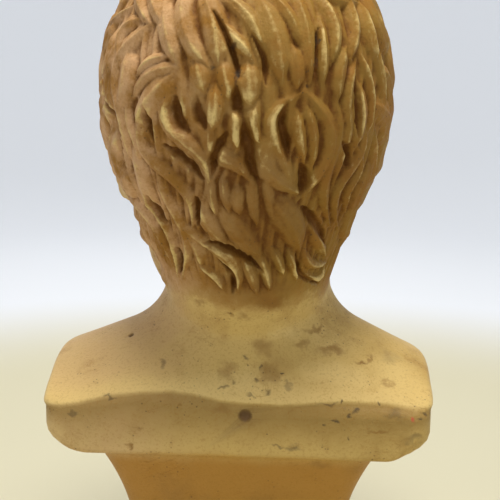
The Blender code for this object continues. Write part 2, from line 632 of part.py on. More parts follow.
def sunk_hollows(points, normals, paths, widths):
    """Depth in life-size millimetres of the hollows over the points: a soft trough along each path."""
    out = np.zeros(points.shape[0] * points.shape[1])
    flat, facing = points.reshape(-1, 3), normals.reshape(-1, 3)
    for path, width in zip(paths, widths):
        half = 0.5 * width * HEAD_SCALE
        near = near_path(flat, path, 1.5 * half)
        if not len(near):
            continue
        place, distance, _ = beside_path(flat[near], facing[near], path, half)
        ends = np.interp(place, (0, 0.25, 0.75, 1.0), (0.4, 1.0, 1.0, 0.4))
        trough = HOLLOW_DEPTH * ends * smooth_step(1.4, 0.2, distance / (half * ends))
        out[near] = np.maximum(out[near], trough)
    return out.reshape(points.shape[:-1])


def hair_share(points):
    """1 on the hair and beard and 0 on the skin and body, with a short run between; the hair of the
    nape fades out down the neck."""
    q = to_head(points)
    bare = np.minimum(skin_field(q), body_field(points) / HEAD_SCALE)
    hair = smooth_step(-4.0, 4.0, bare - hair_field(q)) * smooth_step(NAPE_END, NAPE_FULL, q[..., 2])
    return np.maximum(hair, smooth_step(-0.5, 6.0, bare - beard_field(q)))


def all_locks():
    """Paths and widths of every lock: those on the back, and seeded ones wherever these leave room."""
    random = np.random.default_rng(SEED)
    paths, widths = placed_on_back(BACK_LOCKS)
    seen = np.concatenate([path[2:-1] for path in paths])
    for directions, more_widths in (crown_locks(random), beard_locks(random)):
        for path, width in zip(on_head(np.array(directions)), more_widths):
            gap = np.linalg.norm(seen - path[LOCK_STEPS // 2], axis=1).min()
            on_neck = to_head(path[-1])[1] > 0 and to_head(path[-1])[2] < NAPE_FULL
            if gap > 9.0 * HEAD_SCALE and not on_neck:
                paths.append(path)
                widths.append(width)
    return paths, widths


def sculpted(up, columns):
    """Rows of points of the surface above the socle, from the shoulders' side to the crown."""
    points = smooth_surface(up, columns)
    normals = grid_normals(points)
    height = raised_locks(points, normals, *all_locks())
    height = height - sunk_hollows(points, normals, *placed_on_back(BACK_HOLLOWS))
    return points + (hair_share(points) * height * HEAD_SCALE)[..., None] * normals


def socle_rows(rim):
    """Rows from the middle of the underside up to the rim: plinth, waist, underside of the shoulders."""
    around = np.linspace(0, 2 * np.pi, len(rim), endpoint=False)
    cos, sin = np.cos(around), np.sin(around)
    round_off = (np.abs(cos) ** 7 + np.abs(sin) ** 7) ** (-1 / 7)

    def outline(half_x, half_y, z):
        return np.stack([half_x * cos * round_off, half_y * sin * round_off, np.full(len(rim), z)], -1)

    base_x, base_y = BASE_WIDTH / 2, BASE_DEPTH / 2
    rows = [outline(share * base_x, share * base_y, -FLOOR_ALLOWANCE) for share in (0.0, 0.5, 1.0)]
    rows.append(outline(base_x, base_y, 0.0))
    for turn in np.linspace(0, np.pi / 2, 5):
        inward = PLINTH_EDGE * (1 - np.cos(turn))
        rise = PLINTH_HEIGHT - PLINTH_EDGE * (1 - np.sin(turn))
        rows.append(outline(base_x - inward, base_y - inward, rise))
    top_x, top_y = SOCLE_TOP_WIDTH / 2, SOCLE_TOP_DEPTH / 2
    waist_x, waist_y = top_x * WAIST_SHARE, top_y * (WAIST_SHARE + 0.05)
    foot_x, foot_y = base_x - PLINTH_STEP - waist_x, base_y - PLINTH_STEP - waist_y
    for share in np.linspace(0, 1, 14)[:-1]:
        rise = PLINTH_HEIGHT + (WAIST_HEIGHT - PLINTH_HEIGHT) * share
        swell = (1 - share) ** 2.2
        rows.append(outline(waist_x + foot_x * swell, waist_y + foot_y * swell, rise))
    for share in np.linspace(0, 1, 14):
        rise = WAIST_HEIGHT + (SOCLE_HEIGHT - WAIST_HEIGHT) * share
        swell = share**1.7
        row = outline(waist_x + (top_x - waist_x) * swell, waist_y + (top_y - waist_y) * swell, rise)
        row[:, 2] += SHOULDER_SLANT * row[:, 0] * share**6
        rows.append(row)
    end_corner = np.where(cos > 0, END_CORNER_LEFT, END_CORNER_RIGHT)
    corner = BACK_CORNER + (end_corner - BACK_CORNER) * smooth_step(0.72, 0.86, np.abs(cos))
    inner = rim[:, :2] - corner[:, None] * unit(rim[:, :2] - np.array([0, SHOULDER_MID_Y]))
    cut_z = SOCLE_HEIGHT + SHOULDER_SLANT * rim[:, 0]
    socle_edge = rows[-1][:, :2]
    for share in (0.35, 0.7, 1.0):
        place = socle_edge + (inner - socle_edge) * share
        level = SOCLE_HEIGHT + SHOULDER_SLANT * place[:, :1]
        rows.append(np.concatenate([place, level], 1))
    for turn in np.linspace(0, np.pi / 2, 7)[1:]:
        place = inner + (rim[:, :2] - inner) * np.sin(turn)
        z = cut_z + np.minimum(corner, rim[:, 2] - cut_z) * (1 - np.cos(turn))
        rows.append(np.concatenate([place, z[:, None]], 1))
    return np.array(rows)


def skin_of_rows(rows):
    """Vertices and faces of rows that close round, with the first and last drawn to one point."""
    height, width = rows.shape[:2]
    ring = rows[1:-1].reshape(-1, 3)
    points = np.concatenate([ring, rows[:1].mean(1), rows[-1:].mean(1)])
    column = np.arange(width)
    beside = (column + 1) % width
    base = (np.arange(height - 3) * width)[:, None]
    quads = np.stack([base + column, base + beside, base + width + beside, base + width + column], -1)
    bottom, top = len(ring), len(ring) + 1
    last = (height - 3) * width
    under = np.stack([np.full(width, bottom), beside, column], -1)
    over = np.stack([last + column, last + beside, np.full(width, top)], -1)
    return points, quads.reshape(-1, 4).tolist() + under.tolist() + over.tolist()


def plaster():
    material = bpy.data.materials.new("plaster")
    material.use_nodes = True
    shader = material.node_tree.nodes["Principled BSDF"]
    shader.inputs["Base Color"].default_value = PLASTER_COLOUR
    shader.inputs["Roughness"].default_value = PLASTER_ROUGHNESS
    return material


def add_object(name, points, faces):
    mesh = bpy.data.meshes.new(name)
    mesh.from_pydata(points.tolist(), [], faces)
    mesh.update()
    mesh.shade_smooth()
    obj = bpy.data.objects.new(name, mesh)
    bpy.context.scene.collection.objects.link(obj)
    return obj


def floor_cutter():
    """A block under the floor that trims the underside flat at z = 0."""
    x, y = BASE_WIDTH, BASE_DEPTH
    low = -4 * FLOOR_ALLOWANCE
    corners = np.array([(i * x, j * y, k) for k in (low, 0.0) for j in (-1, 1) for i in (-1, 1)])
    faces = [(0, 2, 3, 1), (4, 5, 7, 6), (0, 1, 5, 4), (2, 6, 7, 3), (0, 4, 6, 2), (1, 3, 7, 5)]
    cutter = add_object("floor_cutter", corners, faces)
    cutter.hide_render = True
    cutter.display_type = "WIRE"
    return cutter


def build_bust():
    surface = sculpted(even_rows(BODY_ROWS, HEAD_ROWS), COLUMNS)
    rows = np.concatenate([socle_rows(surface[0]), surface[1:]])
    points, faces = skin_of_rows(rows)
    bust = add_object("bust", points, faces)
    bust.data.materials.append(plaster())
    thin = bust.modifiers.new("thin", "DECIMATE")
    thin.ratio = SOLID_TRIANGLES / (2 * rows.shape[0] * rows.shape[1])
    flat = bust.modifiers.new("flat underside", "BOOLEAN")
    flat.operation = "DIFFERENCE"
    flat.solver = "EXACT"
    flat.object = floor_cutter()
    return bust


def main():
    for obj in list(bpy.data.objects):
        bpy.data.objects.remove(obj)
    build_bust()


if __name__ == "__main__":
    main()
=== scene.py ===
"""Looks of the cast plaster bust: the sculpted surface in full detail, its patina, and a studio.

The bust is one surface over two parameters, the share of the way up it and the angle around it.
Its points come from a field of signed distances, and the locks of hair are raised along its normals.
"""

import bpy
import numpy as np
from bpy.props import FloatProperty, FloatVectorProperty, IntProperty, PointerProperty
from mathutils import Matrix, Vector


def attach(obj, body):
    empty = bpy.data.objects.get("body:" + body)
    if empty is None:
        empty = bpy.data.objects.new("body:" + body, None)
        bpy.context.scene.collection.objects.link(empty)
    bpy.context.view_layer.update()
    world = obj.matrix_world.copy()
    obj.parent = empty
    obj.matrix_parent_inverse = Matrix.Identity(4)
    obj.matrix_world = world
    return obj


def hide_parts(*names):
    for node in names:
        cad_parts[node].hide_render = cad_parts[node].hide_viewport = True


bl_info = {
    "name": "Plaster philosopher bust",
    "version": (1, 0, 0),
    "blender": (4, 5, 0),
    "location": "View3D > Sidebar > Bust",
    "description": "Builds the patinated plaster bust and a studio around it",
    "category": "Object",
}

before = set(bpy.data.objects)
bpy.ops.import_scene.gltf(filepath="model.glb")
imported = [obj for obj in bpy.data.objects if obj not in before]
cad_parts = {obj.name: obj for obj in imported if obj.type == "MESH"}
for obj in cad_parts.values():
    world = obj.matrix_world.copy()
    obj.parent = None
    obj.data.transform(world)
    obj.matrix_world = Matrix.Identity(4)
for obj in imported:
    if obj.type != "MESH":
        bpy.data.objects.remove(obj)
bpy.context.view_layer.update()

# Driving sizes in metres, and slopes and shares of them
MM = 0.001
SOCLE_HEIGHT = 55.4 * MM
SOCLE_TOP_WIDTH = 83.4 * MM
SOCLE_TOP_DEPTH = 54.0 * MM
WAIST_SHARE = 0.765
WAIST_HEIGHT = 29.0 * MM
BASE_WIDTH = 84.0 * MM
BASE_DEPTH = 62.0 * MM
PLINTH_HEIGHT = 8.0 * MM
PLINTH_EDGE = 1.5 * MM
PLINTH_STEP = 2.5 * MM
SHOULDER_WIDTH = 112.8 * MM
SHOULDER_DEPTH = 64.0 * MM
SHOULDER_EDGE = 13.6 * MM
SHOULDER_TIP_RISE = 10.3 * MM
SHOULDER_SLOPE = 0.41
SHOULDER_SLOPE_RIGHT = 0.53
NECK_WIDTH = 48.4 * MM
HEAD_HEIGHT = 109.0 * MM

# How the head sits on the neck, in degrees
HEAD_TURN = 10.0
HEAD_NOD = 3.0
HEAD_LEAN = -1.5

# Smaller sizes of the body, in metres
SHOULDER_MID_Y = -3.0 * MM
SHOULDER_SLANT = 0.001
RIDGE_WAVE = 3.4 * MM
RIDGE_WAVE_X = 26.0 * MM
RIDGE_WAVE_SPREAD = 16.0 * MM
TIP_DROP_LEFT = 0.6 * MM
TIP_DROP_RIGHT = 1.5 * MM
END_CORNER_LEFT = 13.0 * MM
END_CORNER_RIGHT = 18.0 * MM
END_BULGE = 2.2 * MM
PLAN_CORNER = 5.0 * MM
BACK_CORNER = 1.6 * MM
NECK_FILLET = 11.0 * MM
COLLAR = 2.5 * MM
NECK_X = -2.0 * MM
NECK_Y = -7.0 * MM
HEAD_X = 2.3 * MM

# Places that follow from the sizes
RIDGE_Z = SOCLE_HEIGHT + SHOULDER_EDGE
TIP_Z = RIDGE_Z + SHOULDER_TIP_RISE
NECK_ROOT_Z = TIP_Z + SHOULDER_SLOPE * (SHOULDER_WIDTH - NECK_WIDTH) / 2
HEAD_Z = NECK_ROOT_Z + 0.422 * HEAD_HEIGHT
LIFE_HEAD_HEIGHT = 225.0
SKULL_RADIUS = 95.0
HEAD_SCALE = HEAD_HEIGHT / LIFE_HEAD_HEIGHT
HEAD_CENTRE = np.array([HEAD_X, NECK_Y + 1.0 * MM, HEAD_Z])
CROWN_Z = HEAD_Z + 112.0 * HEAD_SCALE

# The photograph's view of the back, which places the locks there: pixels of its 500 wide frame
VIEW_WIDTH = 500
VIEW_FOCAL = 997.0
VIEW_DISTANCE = 300.0 * MM
VIEW_TURN = 3.0
VIEW_RISE = 10.0
VIEW_ROLL = 0.6
VIEW_TARGET = np.array([-2.1 * MM, 0.0, 110.0 * MM])

# Locks on the back as the photograph shows them: root x, y, tip x, y, bow to the left, sway, width
BACK_LOCKS = (
    # Left rim, sweeps, long and inner curves, left strands
    (134, 4, 101, 72, 11, 0, 12), (102, 62, 106, 156, 8, 0, 14), (106, 140, 170, 262, 2, 5, 13),
    (150, 22, 128, 158, 22, 6, 21), (168, 56, 136, 78, 6, 0, 9), (178, 66, 132, 100, 10, 0, 12),
    (131, 92, 140, 168, 3, 3, 10), (150, 98, 192, 229, 12, 14, 14), (172, 84, 203, 201, 2, 15, 13),
    (122, 150, 177, 278, -7, 5, 10), (155, 168, 181, 280, -12, 5, 11),
    # Crown, its arcs and the ridge by the upper hole
    (136, -14, 150, 24, 2, 0, 14), (150, -14, 165, 26, 2, 0, 15), (164, -2, 178, 66, 3, 0, 18),
    (184, -14, 210, 68, 12, 0, 17), (202, -12, 219, 70, -4, 0, 19), (216, -10, 263, 66, -14, 0, 13),
    (206, 8, 253, 62, 0, 3, 12), (258, -6, 283, 84, -6, 0, 21), (262, -12, 303, 52, -8, 0, 12),
    (292, 44, 298, 88, -2, 0, 15), (294, -12, 310, 84, -5, 0, 14), (320, 16, 323, 88, -2, 0, 11),
    (318, -8, 331, 66, -11, 0, 13), (344, -10, 350, 62, -8, 0, 13), (347, 46, 338, 104, 3, 0, 13),
    # Right arch and rim
    (360, 50, 366, 140, -8, 0, 10), (357, 58, 350, 144, 6, 0, 10), (372, -8, 391, 92, -10, 0, 14),
    (374, 40, 381, 120, -4, 0, 12), (391, 86, 378, 160, -6, 0, 13), (376, 130, 364, 200, -2, 0, 12),
    (362, 186, 338, 246, -4, 0, 12),
    # Both sides of the slit, and the curls below it
    (222, 60, 233, 104, 1, 0, 13), (248, 62, 251, 106, 1, 0, 17), (196, 60, 204, 92, 0, 0, 15),
    (216, 84, 211, 132, -2, 0, 14), (209, 126, 250, 182, 8, 6, 14), (238, 106, 238, 150, 3, 0, 9),
    (258, 104, 262, 146, 8, 0, 12),
    # Loop and right strands
    (304, 91, 292, 194, 24, 8, 13), (298, 110, 305, 164, 1, 0, 10), (307, 104, 312, 170, -4, 0, 10),
    (303, 89, 296, 203, -32, -3, 15), (308, 92, 308, 194, -21, -2, 10), (334, 92, 331, 228, 1, -7, 12),
    (346, 96, 333, 186, -6, -2, 11), (364, 118, 339, 230, 4, -8, 12), (354, 140, 346, 214, -5, -5, 10),
    # Low left tufts and rough centre
    (176, 222, 212, 251, -2, 0, 10), (184, 226, 202, 268, -3, 0, 10), (238, 184, 240, 216, 2, 0, 13),
    (222, 176, 230, 214, 1, 0, 9), (212, 178, 216, 216, 2, 0, 8), (252, 176, 257, 226, 2, 0, 11),
    (266, 172, 274, 224, 1, 0, 10),
    # Nape, from its broad masses to its drops
    (222, 208, 262, 258, 2, 0, 20), (198, 206, 226, 244, 2, 0, 16), (270, 196, 300, 252, -5, 0, 24),
    (204, 246, 239, 294, -12, 0, 13), (198, 266, 226, 293, -4, 0, 8), (226, 258, 239, 292, -2, 0, 9),
    (244, 260, 258, 296, -1, 0, 10), (260, 254, 270, 292, -1, 0, 9), (272, 248, 284, 276, -1, 0, 9),
    (288, 250, 297, 280, -1, 0, 9),
    # Crescents and tuft at the lower right
    (304, 250, 327, 262, 9, 0, 9), (298, 272, 325, 266, 11, 0, 8), (318, 216, 326, 256, 4, 0, 14),
)

# Deep hollows between them: root x, y, tip x, y, bow to the left, sway, width
BACK_HOLLOWS = (
    # Left side
    (112, 38, 122, 156, 8, 3, 8), (146, 106, 152, 142, 2, 0, 8), (174, 98, 186, 132, 5, 0, 14),
    (196, 96, 204, 128, 3, 0, 11), (162, 146, 202, 180, -3, 0, 9), (195, 198, 197, 226, -1, 0, 7),
    (150, 194, 166, 222, 2, 0, 8), (176, 248, 178, 274, -2, 0, 6),
    # Crown and centre
    (236, 88, 240, 116, 2, 0, 11), (214, 12, 240, 78, -3, 0, 6), (252, 34, 266, 84, -5, 0, 6),
    (246, 120, 256, 178, 2, 0, 13), (226, 134, 212, 176, 4, 0, 9),
    # Loop and right side
    (288, 103, 288, 160, 5, 2, 11), (302, 166, 301, 196, -4, 0, 11), (357, 76, 357, 136, 0, 0, 7),
    (342, 142, 348, 166, -3, 0, 10), (318, 28, 316, 72, 0, 0, 4),
    # Nape
    (302, 208, 326, 244, -3, 0, 10), (206, 242, 262, 270, -3, 0, 7), (220, 262, 232, 294, -7, 0, 7),
    (296, 256, 320, 284, 8, 0, 7),
)

# How the locks are raised, in millimetres of a life-size head
LOCK_HEIGHT = 3.9
LOCK_HOLLOW = 2.2
HOLLOW_DEPTH = 3.6
LOCK_STEPS = 13
LOCK_OVERLAP = 1.42
LOCK_BLEND = 0.9
STRANDS = 3.0
CROWN_TURN = 178.0
CROWN_RISE = 56.0
RING_GAP = 17.0
SEEDED_LOCK_WIDTH = 11.5
SEEDED_LOCK_LENGTH = 36.0
BEARD_LOCK_LENGTH = 25.0
BEARD_LOCK_WIDTH = 9.5
BEARD_THICKNESS = 2.0
BEARD_REACH = 108.0
BEARD_SPREAD = 82.0
MOUSTACHE_STRAND_WIDTH = 6.5
BEARD_EAR_Y = -10.0
BEARD_EAR_Z = -12.0
BEARD_LINE_SLOPE = 0.74
NAPE_END = -97.0
NAPE_FULL = -72.0
SEED = 11


def turn_matrix(axis, degrees):
    """Rotation about one of the three axes, by the right-hand rule."""
    angle = np.radians(degrees)
    matrix = np.eye(3)
    i, j = (axis + 1) % 3, (axis + 2) % 3
    matrix[i, i] = matrix[j, j] = np.cos(angle)
    matrix[i, j], matrix[j, i] = -np.sin(angle), np.sin(angle)
    return matrix


HEAD_POSE = turn_matrix(2, HEAD_TURN) @ turn_matrix(0, HEAD_NOD) @ turn_matrix(1, HEAD_LEAN)
EAR_POSE = turn_matrix(0, 10) @ turn_matrix(2, 14)
EAR = (66, -1, -6)
EYE = (31, -64, -2)


def smooth_step(low, high, value):
    """0 at low and 1 at high: three squares less two cubes of the share of the way between."""
    share = np.clip((value - low) / (high - low), 0.0, 1.0)
    return share * share * (3.0 - 2.0 * share)


def smooth_min(a, b, blend):
    """The lesser of two fields, with a fillet about blend wide where they are near."""
    share = np.clip(0.5 + 0.5 * (b - a) / blend, 0.0, 1.0)
    return b + (a - b) * share - blend * share * (1.0 - share)


def smooth_max(a, b, blend):
    """The greater of two fields, with a fillet as in smooth_min."""
    return -smooth_min(-a, -b, blend)


def unit(v):
    return v / np.linalg.norm(v, axis=-1, keepdims=True)


def joined(field, *forms):
    """The field with more forms joined to it in turn, each with its blend, or cut away from it where
    the blend is negative."""
    for form, blend in forms:
        field = smooth_min(field, form, blend) if blend > 0 else smooth_max(field, -form, -blend)
    return field


def egg(q, centre, radii, power=2.0):
    """Distance to an ellipsoid, or to a squarer one where power is over 2."""
    share = np.abs(q - np.array(centre)) / np.array(radii) + 1e-9
    gauge = (share**power).sum(-1) ** (1.0 / power)
    steep = gauge ** (1.0 - power) * np.sqrt(((share ** (power - 1.0) / np.array(radii)) ** 2).sum(-1))
    return (gauge - 1.0) / steep


def limb(q, start, end, start_radius, end_radius):
    """Distance to a round bar from start to end that tapers evenly."""
    start, end = np.array(start), np.array(end)
    axis = end - start
    along = np.clip(((q - start) @ axis) / (axis @ axis), 0.0, 1.0)
    gap = np.linalg.norm(q - start - along[..., None] * axis, axis=-1)
    return gap - (start_radius + (end_radius - start_radius) * along)


def mirrored(q):
    """The point with its left-right place made positive, so that one shape serves both sides."""
    m = q.copy()
    m[..., 0] = np.abs(q[..., 0])
    return m


def shoulder_top(x, y):
    """Height of the shoulders' upper side: a crest between the tips that falls to the back ridge."""
    to_left = smooth_step(-20 * MM, 20 * MM, x)
    slope = SHOULDER_SLOPE_RIGHT + (SHOULDER_SLOPE - SHOULDER_SLOPE_RIGHT) * to_left
    drop = TIP_DROP_RIGHT + (TIP_DROP_LEFT - TIP_DROP_RIGHT) * to_left
    crest = TIP_Z - drop + slope * (SHOULDER_WIDTH / 2 - np.sqrt(x**2 + (4 * MM) ** 2))
    wave = RIDGE_WAVE * np.exp(-(((x - RIDGE_WAVE_X) / RIDGE_WAVE_SPREAD) ** 2))
    half = SHOULDER_DEPTH / 2
    back = np.clip((y - SHOULDER_MID_Y) / half, 0.0, 1.3)
    front = np.clip((SHOULDER_MID_Y - y) / half, 0.0, 1.3)
    ridge = RIDGE_Z + wave
    brow = RIDGE_Z + 2 * MM
    return crest - (crest - ridge) * back**1.6 - (crest - brow) * front**1.8


def body_field(p):
    """Distance to the shoulders, chest and neck."""
    x, y, z = p[..., 0], p[..., 1], p[..., 2]
    share = (y - SHOULDER_MID_Y) / (SHOULDER_DEPTH / 2)
    ends = np.abs(x) - SHOULDER_WIDTH / 2 + END_BULGE * share**2
    front_and_back = (np.abs(share) - 1.0) * SHOULDER_DEPTH / 2
    plan_corner = np.interp(y, (-20 * MM, 10 * MM), (4 * PLAN_CORNER, PLAN_CORNER))
    sides = smooth_max(ends, front_and_back, plan_corner)
    top = 0.88 * (z - shoulder_top(x, y))
    edge = np.interp(y, (-30 * MM, -8 * MM, 8 * MM), (9 * MM, 3 * MM, BACK_CORNER))
    m = mirrored(p)
    breast_z = SOCLE_HEIGHT + 0.78 * SHOULDER_EDGE
    collar_z = TIP_Z + 1 * MM
    collar = limb(m, (0.006, -0.028, collar_z), (0.034, -0.018, collar_z - 3.5 * MM), COLLAR, COLLAR)
    foot = (0, NECK_Y, NECK_ROOT_Z - 20 * MM)
    head = (NECK_X, NECK_Y + 1 * MM, HEAD_Z - 20 * MM)
    return joined(
        smooth_max(sides, top, edge),
        (egg(m, (0.022, -0.027, breast_z), (0.021, 0.010, 0.012)), 8 * MM),
        (collar, 5 * MM),
        (limb(p, foot, head, NECK_WIDTH / 2, NECK_WIDTH / 2), NECK_FILLET),
    )


def skin_field(q):
    """Distance to the bare head and face, in millimetres of a life-size head."""
    m = mirrored(q)
    from_lids = q[..., 2] - EYE[2]
    upper = 4.4 - 0.020 * (m[..., 0] - 30) ** 2
    lower = 0.016 * (m[..., 0] - 30) ** 2 - 4.2
    opening = np.maximum(from_lids - upper, lower - from_lids)
    e = (m - np.array(EAR)) @ EAR_POSE
    return joined(
        egg(q, (0, 8, 32), (73, 93, 80)),
        (egg(q, (0, -36, -36), (52, 53, 74)), 22),
        (limb(m, (38, -18, -54), (14, -68, -95), 11, 12), 14),
        (egg(q, (0, -78, -96), (18, 13, 13)), 10),
        (egg(m, (40, -62, -27), (18, 14, 12)), 12),
        (limb(m, (9, -85, 14), (42, -71, 14), 7.5, 6.5), 9),
        (egg(m, (31, -87, -2), (20, 15, 12)), -8),
        (joined(egg(m, EYE, (14.4, 14.4, 14.4)), (opening, -1.0)), 3),
        (egg(m, EYE, (12.6, 12.6, 12.6)), 0.6),
        (limb(q, (0, -84, 9), (0, -99, -34), 5.5, 7.5), 7),
        (egg(q, (0, -101, -36), (8.5, 8, 7.5)), 5),
        (egg(m, (12, -94, -38), (6.5, 8, 7)), 5),
        (egg(m, (7, -98, -45.5), (3.5, 5, 3)), -2),
        (egg(q, (0, -72, -66), (27, 20, 22)), 12),
        (limb(m, (2, -93, -66), (19, -84, -69), 5, 3), 4),
        (limb(m, (0, -91, -76), (15, -84, -74), 5.6, 3.6), 4),
        (egg(q, (0, -99, -70.5), (21, 8, 1.5)), -1.6),
        (joined(egg(e, (0, 0, 0), (6.5, 15, 25)), (egg(e, (6.5, -3, 1), (6, 8.5, 16)), -3)), 4),
    )


def hair_field(q):
    """Distance to the mass of hair under its locks, cut off at the hairline and round the ears."""
    hairline = -0.92 * (q[..., 1] + 42 + 0.42 * (q[..., 2] - 20))
    return joined(
        egg(q, (-1.5, 13, 38), (83.8, 96.6, 85.6), 2.3),
        (limb(q, (-4, 20, -6), (-9.5, 3, -100), 71.5, 45.5), 14),
        (egg(q, (45, 12, -40), (16, 24, 20)), 8),
        (-hairline, -6),
        (egg(mirrored(q), (83, -6, -12), (17, 18, 28)), -5),
    )


def beard_field(q):
    """Distance to the mass of the beard and the moustache under their locks: the skin of the jaw made
    thicker below a line from ear to lip, with a fuller chin."""
    m = mirrored(q)
    line = 0.81 * (q[..., 2] - BEARD_EAR_Z - BEARD_LINE_SLOPE * (q[..., 1] - BEARD_EAR_Y))
    edge = smooth_max(line, q[..., 1] - BEARD_EAR_Y - 6.0, 5.0)
    moustache = joined(
        limb(m, (4, -95, -56), (26, -85, -69), 6, 5.5),
        (limb(m, (26, -85, -69), (33, -74, -88), 5.5, 6), 4),
    )
    return joined(
        skin_field(q) - BEARD_THICKNESS,
        (-edge, -4.0),
        (egg(q, (0, -70, -98), (29, 29, 28)), 12),
        (egg(q, (0, -106, -72), (19, 17, 8.5)), -5),
        (moustache, 4),
    )


def to_head(p):
    """Points in life-size millimetres in the frame of the turned head."""
    return (p - HEAD_CENTRE) @ HEAD_POSE / HEAD_SCALE


def from_head(q):
    """The way back from to_head."""
    return q * HEAD_SCALE @ HEAD_POSE.T + HEAD_CENTRE


def head_field(q):
    """Distance to the whole head under its locks, in millimetres of a life-size head."""
    return smooth_min(smooth_min(skin_field(q), hair_field(q), 2.5), beard_field(q), 2.5)


def bust_field(p):
    """Distance to the smooth bust above the socle, in metres."""
    return smooth_min(body_field(p), HEAD_SCALE * head_field(to_head(p)), 1.5 * MM)


def walk_in(start, direction, far, steps):
    """How far along rays the smooth bust ends, walking back in from far beyond it, or out from 0."""
    for _ in range(steps):
        far = far - 0.85 * bust_field(start + far[..., None] * direction)
    return np.maximum(far, 0.0)


# The fan of rays, a row at a time: share of the way up the bust, start out from the middle, level,
# reach in shoulder widths or 0 to walk outward, and rise in degrees at the back, side and front
FAN = np.array([
    (0.00, 0.55, 0.21, 0.00, 0, 0, 0),
    (0.04, 0.55, 0.22, 0.00, 16, 24, 6),
    (0.09, 0.50, 0.24, 0.00, 26, 46, 12),
    (0.14, 0.42, 0.28, 0.00, 42, 55, 14),
    (0.20, 0.30, 0.42, 0.00, 46, 50, 6),
    (0.25, 0.15, 0.70, 0.00, 30, 36, -4),
    (0.28, 0.08, 0.90, 0.00, 16, 20, -14),
    (0.31, 0.00, 1.10, 0.00, 3, 4, -23),
    (0.40, 0.00, 1.31, 1.10, 4, 2, -28),
    (0.50, 0.00, 1.53, 1.10, 0, -3, -28),
    (0.60, 0.00, 1.77, 1.10, -2, -4, -24),
    (0.70, 0.00, 2.00, 1.10, 2, -2, -18),
    (0.77, 0.00, 2.12, 1.10, 12, 8, -8),
    (0.84, 0.00, 2.20, 1.10, 30, 26, 12),
    (0.92, 0.00, 2.24, 1.10, 58, 55, 48),
    (1.00, 0.00, 2.26, 1.10, 90, 90, 90),
])
FAN_LEVELS = (SOCLE_HEIGHT, NECK_ROOT_Z, HEAD_Z, CROWN_Z)
FAN_NECK = 0.31


def fan_rays(up, around):
    """Start, direction and reach of each ray, for shares up the bust and angles around it."""
    up, around = np.meshgrid(up, around, indexing="ij")
    out, level, reach, back, side, front = (np.interp(up, FAN[:, 0], column) for column in FAN[:, 1:].T)
    ends = np.sin(around)
    rise = np.radians(side + (np.where(ends > 0, back, front) - side) * ends**2)
    turned = around + np.radians(HEAD_TURN) * smooth_step(FAN_NECK - 0.04, FAN_NECK + 0.06, up)
    on_neck = smooth_step(0.18, FAN_NECK, up)
    start = np.stack([
        out * SHOULDER_WIDTH / 2 * np.cos(around) + on_neck * NECK_X,
        out * SHOULDER_DEPTH / 2 * ends + SHOULDER_MID_Y + on_neck * (NECK_Y - SHOULDER_MID_Y),
        np.interp(level, range(len(FAN_LEVELS)), FAN_LEVELS),
    ], -1)
    direction = np.stack([np.cos(turned) * np.cos(rise), np.sin(turned) * np.cos(rise), np.sin(rise)], -1)
    return start, direction, reach * SHOULDER_WIDTH


def smooth_surface(up, columns, skip=4):
    """Rows of points of the smooth bust: a coarse walk on every few rays, then a short one on all."""
    around = np.linspace(0, 2 * np.pi, columns, endpoint=False)
    some_up = np.interp(np.linspace(0, 1, len(up) // skip + 2), np.linspace(0, 1, len(up)), up)
    some_around = around[::skip]
    far = walk_in(*fan_rays(some_up, some_around), 45)
    wrapped = np.append(some_around, 2 * np.pi)
    far = np.array([np.interp(around, wrapped, np.append(row, row[0])) for row in far])
    far = np.array([np.interp(up, some_up, column) for column in far.T]).T
    start, direction, _ = fan_rays(up, around)
    far = walk_in(start, direction, far + 1.0 * MM, 9)
    points = start + far[..., None] * direction
    points[-1] = points[-1].mean(0)
    return points


def even_rows(body_rows, head_rows):
    """Shares up the bust that space the rows evenly over the body, and more closely over the head."""
    up = np.linspace(0.0, 1.0, 240)
    surface = smooth_surface(up, 24, 2)
    run = np.linalg.norm(np.diff(surface, axis=0), axis=-1).mean(1)
    run = np.concatenate([[0.0], np.cumsum(run)])
    at_neck = np.interp(FAN_NECK, up, run)
    body = np.linspace(0.0, at_neck, body_rows, endpoint=False)
    head = np.linspace(at_neck, run[-1], head_rows)
    return np.interp(np.concatenate([body, head]), run, up)


def grid_normals(points):
    """Outward normals of the rows of points that close round the bust."""
    along = np.roll(points, -1, 1) - np.roll(points, 1, 1)
    up = np.gradient(points, axis=0)
    normal = np.cross(along, up)
    normal[-1] = (0, 0, 1)
    return normal / np.maximum(np.linalg.norm(normal, axis=-1, keepdims=True), 1e-12)


def field_normals(points):
    """Outward directions of the smooth bust's field."""
    step = 0.3 * MM
    slopes = [bust_field(points + shift) - bust_field(points - shift) for shift in step * np.eye(3)]
    return unit(np.stack(slopes, -1) + 1e-12)


def view_axes():
    """The photograph's directions across and up, and the one from the bust back to the eye."""
    turn, rise, roll = np.radians(VIEW_TURN), np.radians(VIEW_RISE), np.radians(VIEW_ROLL)
    back = np.array([-np.sin(turn) * np.cos(rise), np.cos(turn) * np.cos(rise), np.sin(rise)])
    right = unit(np.cross([0, 0, 1], back))
    level_up = np.cross(back, right)
    across = right * np.cos(roll) + level_up * np.sin(roll)
    return across, level_up * np.cos(roll) - right * np.sin(roll), back


